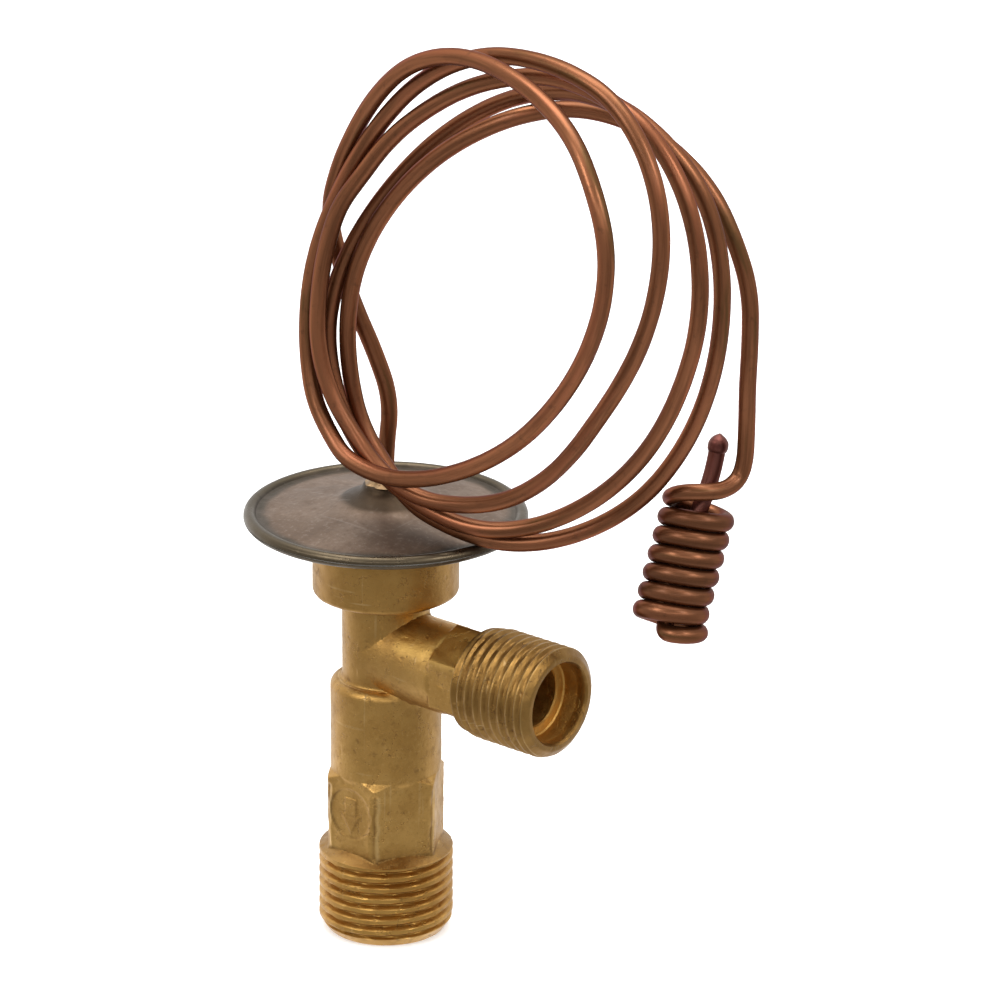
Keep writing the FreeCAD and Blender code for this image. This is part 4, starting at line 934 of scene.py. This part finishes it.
# ---------------------------------------------------------------- materials
class Mat:
    def __init__(self, name):
        self.m = bpy.data.materials.new(name)
        self.m.use_nodes = True
        self.t = self.m.node_tree
        self.t.nodes.clear()
        self.out = self.t.nodes.new("ShaderNodeOutputMaterial")
        self.b = self.t.nodes.new("ShaderNodeBsdfPrincipled")
        self.t.links.new(self.b.outputs[0], self.out.inputs[0])
        self.coord = self.t.nodes.new("ShaderNodeTexCoord").outputs["Object"]

    def node(self, kind, **props):
        n = self.t.nodes.new(kind)
        for k, v in props.items():
            if hasattr(n, k):
                setattr(n, k, v)
            else:
                n.inputs[k.replace("_", " ")].default_value = v
        return n

    def link(self, a, b):
        self.t.links.new(a, b)

    def scaled(self, s, rot=(0, 0, 0), src=None):
        n = self.node("ShaderNodeMapping")
        n.inputs["Scale"].default_value = s if hasattr(s, "__len__") else (s, s, s)
        n.inputs["Rotation"].default_value = rot
        self.link(src or self.coord, n.inputs["Vector"])
        return n.outputs[0]

    def noise(self, scale, detail=3.0, rough=0.55, vec=None, dist=0.0):
        n = self.node("ShaderNodeTexNoise")
        n.inputs["Scale"].default_value = scale
        n.inputs["Detail"].default_value = detail
        n.inputs["Roughness"].default_value = rough
        n.inputs["Distortion"].default_value = dist
        self.link(vec or self.coord, n.inputs["Vector"])
        return n.outputs["Fac"]

    def voronoi(self, scale, vec=None, feature="F1", rnd=1.0):
        n = self.node("ShaderNodeTexVoronoi")
        n.feature = feature
        n.inputs["Scale"].default_value = scale
        n.inputs["Randomness"].default_value = rnd
        self.link(vec or self.coord, n.inputs["Vector"])
        return n.outputs["Distance"]

    def attr(self, name, out="Fac"):
        n = self.node("ShaderNodeAttribute")
        n.attribute_name = name
        return n.outputs[out]

    def ramp(self, fac, lo, hi, a=0.0, b=1.0):
        n = self.node("ShaderNodeMapRange")
        n.interpolation_type = "SMOOTHSTEP"
        n.inputs["From Min"].default_value = lo
        n.inputs["From Max"].default_value = hi
        n.inputs["To Min"].default_value = a
        n.inputs["To Max"].default_value = b
        self.link(fac, n.inputs["Value"])
        return n.outputs["Result"]

    def mix(self, fac, a, b):
        n = self.node("ShaderNodeMix")
        n.data_type = "RGBA"
        n.clamp_factor = True
        ins = [i for i in n.inputs if i.type == "RGBA"]
        if hasattr(fac, "links"):
            self.link(fac, n.inputs[0])
        else:
            n.inputs[0].default_value = fac
        for s, v in zip(ins, (a, b)):
            if hasattr(v, "links"):
                self.link(v, s)
            else:
                s.default_value = (*v, 1.0)
        return [o for o in n.outputs if o.type == "RGBA"][0]

    def math(self, op, a, b=0.0, clamp=False):
        n = self.node("ShaderNodeMath")
        n.operation = op
        n.use_clamp = clamp
        for i, v in enumerate((a, b)):
            if hasattr(v, "links"):
                self.link(v, n.inputs[i])
            else:
                n.inputs[i].default_value = v
        return n.outputs[0]

    def warp(self, scale, amount, vec=None):
        # the coordinate pushed about by a coarser noise
        n = self.node("ShaderNodeTexNoise")
        n.inputs["Scale"].default_value = scale
        n.inputs["Detail"].default_value = 2.0
        self.link(vec or self.coord, n.inputs["Vector"])
        a_ = self.node("ShaderNodeVectorMath")
        a_.operation = "MULTIPLY_ADD"
        self.link(n.outputs["Color"], a_.inputs[0])
        a_.inputs[1].default_value = (amount, amount, amount)
        self.link(vec or self.coord, a_.inputs[2])
        return a_.outputs[0]

    def bump(self, height, dist, strength=1.0, prev=None):
        n = self.node("ShaderNodeBump")
        n.inputs["Strength"].default_value = strength
        n.inputs["Distance"].default_value = dist
        self.link(height, n.inputs["Height"])
        if prev is not None:
            self.link(prev, n.inputs["Normal"])
        return n.outputs[0]

    def finish(self, color, rough, normal=None, metal=1.0, **const):
        for key, v in (("Base Color", color), ("Roughness", rough), ("Normal", normal), ("Metallic", metal)):
            if v is None:
                continue
            if hasattr(v, "links"):
                self.link(v, self.b.inputs[key])
            elif hasattr(v, "__len__"):
                self.b.inputs[key].default_value = (*v, 1.0)
            else:
                self.b.inputs[key].default_value = v
        for k, v in const.items():
            self.b.inputs[k.replace("_", " ")].default_value = v
        return self.m


def forged_brass():
    m = Mat("forged_brass")
    broad = m.noise(140, 4, 0.6)
    mid = m.noise(620, 4, 0.62)
    small = m.noise(2100, 3, 0.65)
    grain = m.noise(5200, 3, 0.6)
    skin = m.mix(m.ramp(broad, 0.34, 0.68), (0.410, 0.226, 0.058), (0.535, 0.314, 0.092))
    skin = m.mix(m.ramp(mid, 0.50, 0.74, 0.0, 0.60), skin, (0.315, 0.172, 0.044))
    skin = m.mix(m.ramp(small, 0.56, 0.74, 0.0, 0.40), skin, (0.250, 0.130, 0.034))
    skin = m.mix(m.ramp(small, 0.44, 0.28, 0.0, 0.35), skin, (0.640, 0.420, 0.160))
    cutc = m.mix(m.ramp(broad, 0.34, 0.68), (0.425, 0.222, 0.050), (0.520, 0.292, 0.074))
    cutc = m.mix(m.ramp(mid, 0.50, 0.76, 0.0, 0.40), cutc, (0.300, 0.155, 0.034))
    cutc = m.mix(m.ramp(small, 0.56, 0.76, 0.0, 0.35), cutc, (0.240, 0.125, 0.032))
    # painted shade: the upper forging, under the head, is darkened; the branch's thread gets a darker cut colour
    sep = m.node("ShaderNodeSeparateXYZ")
    m.link(m.coord, sep.inputs[0])
    under_head_shade = m.math("MULTIPLY", m.ramp(sep.outputs[2], 0.019, 0.050, 0.0, 0.66), m.ramp(sep.outputs[0], 0.008, 0.013, 1.0, 0.0))
    skin = m.mix(under_head_shade, skin, (0.305, 0.164, 0.042))
    # painted light: the top of the branch is lightened
    branch_top_light = m.math("MULTIPLY", m.ramp(sep.outputs[2], 0.0438, 0.0458), m.ramp(sep.outputs[0], 0.0050, 0.0075))
    branch_top_light = m.math("MULTIPLY", branch_top_light, m.ramp(sep.outputs[2], 0.0486, 0.0482))
    skin = m.mix(m.math("MULTIPLY", branch_top_light, 0.72), skin, (0.730, 0.455, 0.125))
    side_cut = m.mix(m.ramp(broad, 0.34, 0.68), (0.235, 0.124, 0.030), (0.300, 0.166, 0.046))
    side_cut = m.mix(m.ramp(mid, 0.50, 0.76, 0.0, 0.40), side_cut, (0.180, 0.092, 0.022))
    cutc = m.mix(m.ramp(sep.outputs[0], 0.0168, 0.0174), cutc, side_cut)
    col = m.mix(m.attr("cut"), skin, cutc)
    # dirt and painted shade in the hollows of the skin, and edges rubbed bright with a painted highlight
    cav = m.attr("cav")
    hollow_dirt_and_shade = m.math("MULTIPLY", m.ramp(cav, 0.04, 0.30), m.ramp(mid, 0.25, 0.75, 0.55, 1.0))
    hollow_dirt_and_shade = m.math("MULTIPLY", hollow_dirt_and_shade, m.math("SUBTRACT", 1.0, m.math("MULTIPLY", m.attr("cut"), 0.35)))
    col = m.mix(m.math("MULTIPLY", hollow_dirt_and_shade, 0.85), col, (0.130, 0.066, 0.018))
    # painted highlight, partly real rubbing, on convex edges and along one side of the corner strips
    rub_and_highlight = m.ramp(m.math("MULTIPLY", cav, -1.0), 0.09, 0.40, 0.0, 0.60)
    rub_and_highlight = m.math("MAXIMUM", rub_and_highlight, m.math("MULTIPLY", m.attr("seam_highlight"), 0.40))
    col = m.mix(rub_and_highlight, col, (0.80, 0.58, 0.27))
    # painted shade on the ledge above the outlet thread
    col = m.mix(m.math("MULTIPLY", m.attr("ledge_shade"), 0.62), col, (0.190, 0.100, 0.028))
    # painted shade, with some dirt, at the flow mark and down the corner strips
    col = m.mix(m.math("MULTIPLY", m.attr("mark_dirt_and_shade"), 0.70), col, (0.120, 0.060, 0.017))
    # ragged brown smudges of mixed size, and finer dark flecks among them
    wa, wb = m.warp(1300, 0.0011), m.warp(3000, 0.0005)
    v = m.voronoi(640, wa)
    gate = m.ramp(m.noise(230, 2, 0.5), 0.50, 0.62)
    smudge = m.math("MULTIPLY", m.ramp(v, 0.34, 0.05), gate)
    v2 = m.voronoi(1900, wb)
    gate2 = m.ramp(m.noise(420, 2, 0.5), 0.50, 0.64)
    fleck = m.math("MULTIPLY", m.ramp(v2, 0.30, 0.08), gate2)
    speck = m.math("MAXIMUM", smudge, fleck)
    col = m.mix(m.math("MULTIPLY", smudge, 0.46), col, (0.170, 0.088, 0.026))
    col = m.mix(m.math("MULTIPLY", fleck, 0.60), col, (0.150, 0.078, 0.024))
    # hair-thin creases and scratches of the forging
    cr = m.math("ABSOLUTE", m.math("SUBTRACT", m.noise(250, 3, 0.5, wa), 0.5))
    crease = m.math("MULTIPLY", m.ramp(cr, 0.012, 0.002), m.ramp(m.noise(180, 2, 0.5), 0.50, 0.60))
    col = m.mix(m.math("MULTIPLY", crease, 0.40), col, (0.170, 0.088, 0.028))
    s1 = m.ramp(m.noise(800, 2, 0.5, m.scaled((1.5, 1.5, 0.07), (0.35, 0.2, 0))), 0.66, 0.72, 0.0, 1.0)
    s2 = m.ramp(m.noise(900, 2, 0.5, m.scaled((0.10, 0.10, 1.6), (0.1, -0.25, 0))), 0.67, 0.73, 0.0, 1.0)
    scr = m.math("MULTIPLY", m.math("MAXIMUM", s1, s2), m.ramp(broad, 0.42, 0.62, 0.2, 1.0))
    col = m.mix(m.math("MULTIPLY", scr, 0.22), col, (0.78, 0.58, 0.30))
    # painted shade deep in the bores
    col = m.mix(m.math("MULTIPLY", m.attr("bore_shade"), 0.15), col, (0.100, 0.046, 0.012))
    col = m.mix(m.math("MULTIPLY", m.attr("bored"), 0.80), col, (0.600, 0.340, 0.085))
    rough = m.math("ADD", m.ramp(mid, 0.3, 0.7, 0.36, 0.50), m.math("MULTIPLY", m.attr("cut"), -0.04))
    rough = m.math("ADD", rough, m.math("MULTIPLY", m.attr("bored"), 0.12))
    m.b.inputs["Coat Weight"].default_value = 0.12
    m.b.inputs["Coat Roughness"].default_value = 0.38
    n1 = m.bump(grain, 0.00003, 0.55)
    n2 = m.bump(small, 0.00006, 0.50, n1)
    n3 = m.bump(mid, 0.00012, 0.50, n2)
    n4 = m.bump(m.math("MULTIPLY", m.math("MAXIMUM", speck, crease), -1.0), 0.00007, 0.7, n3)
    return m.finish(col, rough, n4, 1.0)


def turned_brass():
    m = Mat("turned_brass")
    lines = m.noise(900, 3, 0.6, m.scaled((0.25, 0.25, 6.0)))
    col = m.mix(m.ramp(m.noise(300, 3), 0.35, 0.7), (0.52, 0.34, 0.13), (0.62, 0.43, 0.19))
    return m.finish(col, m.ramp(lines, 0.3, 0.7, 0.28, 0.42), m.bump(lines, 0.00003, 0.4), 1.0)


def head_sheet():
    m = Mat("head_sheet")
    broad = m.noise(75, 4, 0.62, None, 0.6)
    mid = m.noise(310, 5, 0.62, None, 0.4)
    fine = m.noise(2600, 3, 0.6)
    tick = m.noise(1500, 3, 0.6)
    col = m.mix(m.ramp(broad, 0.36, 0.66), (0.118, 0.074, 0.046), (0.178, 0.121, 0.083))
    col = m.mix(m.ramp(mid, 0.50, 0.78, 0.0, 0.60), col, (0.105, 0.064, 0.040))
    col = m.mix(m.ramp(tick, 0.52, 0.70, 0.0, 0.40), col, (0.085, 0.056, 0.038))
    col = m.mix(m.ramp(tick, 0.46, 0.32, 0.0, 0.35), col, (0.260, 0.205, 0.165))
    # heat-tinted, darker rim, with painted shade in the valley before the bead
    edge = m.attr("edge")
    col = m.mix(m.math("MULTIPLY", edge, m.ramp(mid, 0.2, 0.7, 0.65, 1.0)), col, (0.042, 0.032, 0.019))
    hub = m.attr("hub")
    col = m.mix(m.math("MULTIPLY", hub, 0.90), col, (0.040, 0.025, 0.013))
    # painted shade in the hollows, the valley before the bead among them
    cav = m.attr("cav")
    col = m.mix(m.ramp(cav, 0.02, 0.16, 0.0, 0.6), col, (0.07, 0.055, 0.04))
    v = m.voronoi(520)
    spots = m.math("MULTIPLY", m.ramp(v, 0.16, 0.06), m.ramp(m.noise(130, 2), 0.56, 0.66))
    col = m.mix(m.math("MULTIPLY", spots, 0.6), col, (0.09, 0.055, 0.035))
    # scratches in two directions
    s1 = m.ramp(m.noise(700, 2, 0.5, m.scaled((0.05, 1.6, 1.0), (0, 0, 0.6))), 0.66, 0.74, 0.0, 1.0)
    s2 = m.ramp(m.noise(800, 2, 0.5, m.scaled((1.7, 0.05, 1.0), (0, 0, -0.35))), 0.67, 0.75, 0.0, 1.0)
    scr = m.math("MAXIMUM", s1, s2)
    col = m.mix(m.math("MULTIPLY", scr, 0.07), col, (0.50, 0.44, 0.38))
    rough = m.math("ADD", m.ramp(mid, 0.3, 0.75, 0.41, 0.54), m.math("MULTIPLY", scr, -0.05))
    rim = m.attr("rim")
    col = m.mix(m.math("MULTIPLY", rim, 0.65), col, (0.108, 0.084, 0.053))
    rough = m.math("SUBTRACT", rough, m.math("MULTIPLY", rim, 0.15), True)
    n1 = m.bump(fine, 0.00003, 0.60)
    n2 = m.bump(m.math("SUBTRACT", mid, m.math("MULTIPLY", scr, 0.4)), 0.00005, 0.35, n1)
    bare = m.math("MAXIMUM", m.math("MULTIPLY", rim, 0.26), m.math("MULTIPLY", hub, 0.22))
    return m.finish(col, rough, n2, m.math("ADD", bare, 0.68))


def aged_copper():
    m = Mat("aged_copper")
    run = m.attr("run", "Vector")
    streak = m.noise(1.0, 4, 0.6, m.scaled((0.055, 1.3, 1.3), src=run))
    patch = m.noise(1.0, 3, 0.6, m.scaled((0.042, 0.50, 0.50), src=run))
    fine = m.noise(3000, 3, 0.6)
    mid = m.noise(700, 4, 0.6)
    col = m.mix(m.ramp(streak, 0.34, 0.66), (0.140, 0.051, 0.020), (0.250, 0.094, 0.040))
    col = m.mix(m.ramp(patch, 0.52, 0.68, 0.0, 0.75), col, (0.245, 0.082, 0.036))
    col = m.mix(m.ramp(patch, 0.42, 0.30, 0.0, 0.80), col, (0.108, 0.054, 0.017))
    col = m.mix(m.ramp(mid, 0.56, 0.80, 0.0, 0.5), col, (0.066, 0.028, 0.013))
    col = m.mix(m.math("MULTIPLY", m.attr("wound"), 0.42), col, (0.070, 0.026, 0.010))
    stem = m.attr("stem")
    col = m.mix(m.math("MULTIPLY", stem, 0.75), col, (0.092, 0.026, 0.026))
    rough = m.ramp(streak, 0.3, 0.7, 0.42, 0.32)
    n1 = m.bump(fine, 0.00002, 0.4)
    n2 = m.bump(mid, 0.00005, 0.3, n1)
    m.b.inputs["Specular Tint"].default_value = (0.42, 0.25, 0.17, 1.0)
    m.b.inputs["Coat Weight"].default_value = 0.20
    m.b.inputs["Coat Roughness"].default_value = 0.26
    return m.finish(col, rough, n2, 0.90)


def bead_copper():
    m = Mat("bead_copper")
    n = m.noise(900, 4, 0.6)
    col = m.mix(m.ramp(n, 0.35, 0.7), (0.118, 0.040, 0.032), (0.175, 0.066, 0.052))
    col = m.mix(m.ramp(m.noise(2200, 2), 0.58, 0.72, 0.0, 0.6), col, (0.085, 0.028, 0.026))
    return m.finish(col, m.ramp(n, 0.3, 0.7, 0.38, 0.50), m.bump(n, 0.00006, 0.5), 1.0)


def solder():
    m = Mat("solder")
    n = m.noise(800, 4, 0.6)
    col = m.mix(m.ramp(n, 0.35, 0.7), (0.24, 0.150, 0.075), (0.40, 0.270, 0.150))
    col = m.mix(m.ramp(m.noise(1900, 3), 0.56, 0.72, 0.0, 0.7), col, (0.09, 0.05, 0.03))
    return m.finish(col, m.ramp(n, 0.3, 0.7, 0.35, 0.55), m.bump(n, 0.00008, 0.6), 1.0)


def inner_steel(name, tone):
    m = Mat(name)
    lines = m.noise(1100, 3, 0.6, m.scaled((0.3, 0.3, 5.0)))
    col = m.mix(m.ramp(m.noise(260, 3), 0.35, 0.7), tuple(c * 0.82 for c in tone), tone)
    return m.finish(col, m.ramp(lines, 0.3, 0.7, 0.24, 0.38), m.bump(lines, 0.00002, 0.35), 1.0)


def seal_rubber():
    m = Mat("seal_rubber")
    n = m.noise(1500, 3, 0.6)
    col = m.mix(m.ramp(n, 0.3, 0.7), (0.012, 0.012, 0.012), (0.026, 0.025, 0.024))
    return m.finish(col, m.ramp(n, 0.3, 0.7, 0.5, 0.65), m.bump(n, 0.00003, 0.3), 0.0)


BRASS, TURNED, SHEET, COPPER = forged_brass(), turned_brass(), head_sheet(), aged_copper()
BEAD, SOLDER, RUBBER = bead_copper(), solder(), seal_rubber()
STEEL = inner_steel("inner_steel", (0.56, 0.55, 0.53))
THIN = inner_steel("thin_sheet", (0.60, 0.59, 0.56))
WIRE = inner_steel("spring_wire", (0.48, 0.47, 0.45))

for ob in (cap, lower):
    cavity(ob, grow=1)
    c_ = coords_of(ob.data) / MM
    r_ = np.hypot(c_[:, 0], c_[:, 1])
    lump_ = noise3(c_, 2.6, 77)
    point_value(ob, "edge", sstep(16.2, 17.4, r_ + 0.35 * lump_) * (1.0 if ob is cap else 0.9))
    point_value(ob, "rim", sstep(18.05, 18.45, r_ + 0.08 * lump_) * (1.0 if ob is cap else 0.5))
    point_value(ob, "hub", (1 - sstep(5.7, 6.75, r_ + 0.25 * lump_)) * (1.0 if ob is cap else 0.0))
point_value(tube, "wound", np.repeat(wound * (0.75 + 0.5 * noise3(np.stack([arclen, 0 * arclen, 0 * arclen], 1), 11.0, 83)), TC))
point_value(tube, "stem", np.repeat(sstep(arclen[-1] - 25.0, arclen[-1] - 8.0, arclen), TC))


def wear(ob, mat):
    ob.data.materials.clear()
    ob.data.materials.append(mat)


wear(body, BRASS)
wear(cap, SHEET)
wear(lower, SHEET)
wear(fillet, SOLDER)
wear(tube, COPPER)
wear(bead, BEAD)
wear(spring_low, WIRE)
wear(spring_up, WIRE)
for node, mat in (("head_spigot", TURNED), ("rod_guide", TURNED), ("ball_carrier", TURNED), ("spring_seat", TURNED),
                  ("adjusting_nut", TURNED), ("diaphragm", THIN), ("thrust_pad", STEEL), ("push_rod", STEEL),
                  ("valve_ball", STEEL), ("head_seal", RUBBER), ("rod_oring", RUBBER)):
    wear(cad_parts[node], mat)

# ------------------------------------------------------------ floor, lights
bm = bmesh.new()
bmesh.ops.create_grid(bm, x_segments=8, y_segments=8, size=3.0)
fme = bpy.data.meshes.new("floor")
bm.to_mesh(fme)
bm.free()
floor = bpy.data.objects.new("floor", fme)
floor.location = (0, 0, -0.00006)
floor.visible_glossy = False
bpy.context.scene.collection.objects.link(floor)
fm = Mat("floor_paper")
wear(floor, fm.finish(fm.mix(fm.ramp(fm.noise(40, 2), 0.3, 0.7), (0.86, 0.86, 0.86), (0.88, 0.88, 0.88)), 0.85, None, 0.0))
fm.b.inputs["Emission Color"].default_value = (1.0, 1.0, 1.0, 1.0)
fm.b.inputs["Emission Strength"].default_value = 0.30

# a white sweep behind and beside the object, darker on the camera's side
world = bpy.data.worlds.new("studio")
bpy.context.scene.world = world
world.use_nodes = True
wt = world.node_tree
sky = wt.nodes["Background"]


def w_node(kind, op=None):
    n = wt.nodes.new(kind)
    if op:
        n.operation = op
    return n


def w_link(a, b_):
    wt.links.new(a, b_)


gen = w_node("ShaderNodeTexCoord").outputs["Generated"]


def w_dot(v):
    n = w_node("ShaderNodeVectorMath", "DOT_PRODUCT")
    w_link(gen, n.inputs[0])
    n.inputs[1].default_value = tuple(v)
    return n.outputs["Value"]


def w_ramp(src, lo, hi, a, b_):
    n = w_node("ShaderNodeMapRange")
    n.interpolation_type = "SMOOTHSTEP"
    for key, v in (("From Min", lo), ("From Max", hi), ("To Min", a), ("To Max", b_)):
        n.inputs[key].default_value = v
    w_link(src, n.inputs["Value"])
    return n.outputs["Result"]


def w_math(op, a, b_):
    n = w_node("ShaderNodeMath", op)
    for i, v in enumerate((a, b_)):
        if hasattr(v, "links"):
            w_link(v, n.inputs[i])
        else:
            n.inputs[i].default_value = v
    return n.outputs[0]


side_back = Vector((FW.x, FW.y, 0)).normalized()
near = w_dot(-side_back)
level = w_ramp(near, -0.45, 0.20, 1.04, 0.50)
level = w_math("ADD", level, w_ramp(w_dot((0, 0, 1)), 0.62, 0.93, 0.0, 0.95))
level = w_math("ADD", level, w_ramp(w_dot(-RT), 0.72, 0.97, 0.0, 0.12))
level = w_math("ADD", level, w_ramp(w_dot(RT), 0.80, 0.98, 0.0, 0.10))
# a long narrow lamp in front, seen only by skin that leans back a little
high = w_dot((0, 0, 1))
strip_ = w_math("MULTIPLY", w_ramp(high, 0.34, 0.38, 0.0, 1.0), w_ramp(high, 0.45, 0.49, 1.0, 0.0))
strip_ = w_math("MULTIPLY", strip_, w_ramp(near, -0.10, 0.25, 0.0, 3.2))
level = w_math("ADD", level, strip_)
# white paper close under the object
level = w_math("ADD", level, w_ramp(w_math("MULTIPLY", high, -1.0), 0.50, 0.85, 0.0, 0.45))
# more paper behind on the camera's left
left_back = w_math("MULTIPLY", w_ramp(w_dot(-RT), 0.15, 0.60, 0.0, 1.0), w_ramp(near, -0.60, -0.15, 0.42, 0.0))
level = w_math("ADD", level, left_back)
seen = w_node("ShaderNodeLightPath").outputs["Is Camera Ray"]
level = w_math("ADD", w_math("MULTIPLY", level, w_math("SUBTRACT", 1.0, seen)), seen)
sky.inputs[0].default_value = (1.0, 1.0, 1.0, 1.0)
w_link(level, sky.inputs[1])
scene = bpy.context.scene
scene.view_settings.view_transform = "Standard"
scene.view_settings.look = "None"


def softbox(name, where, at, sx, sy, power, tone=(1, 1, 1)):
    ld = bpy.data.lights.new(name, "AREA")
    ld.shape, ld.size, ld.size_y, ld.energy, ld.color = "RECTANGLE", sx, sy, power, tone
    ob = bpy.data.objects.new(name, ld)
    bpy.context.scene.collection.objects.link(ob)
    p = Vector(where)
    ob.location = p
    ob.rotation_mode = "QUATERNION"
    ob.rotation_quaternion = (Vector(at) - p).to_track_quat("-Z", "Y")
    return ob


def around(side, back, up):
    # metres from the object: to the camera's right, away from it, and up
    h = Vector((FW.x, FW.y, 0)).normalized()
    return RT * side + h * back + Vector((0, 0, up))


AIM = (0.0, 0.0, 0.06)
softbox("key_left", around(-0.62, -0.52, 0.72), AIM, 0.30, 0.30, 2.4)
softbox("key_right", around(0.62, -0.52, 0.72), AIM, 0.26, 0.26, 2.0)
softbox("top", around(0.0, 0.10, 0.85), AIM, 0.7, 0.5, 4.0)
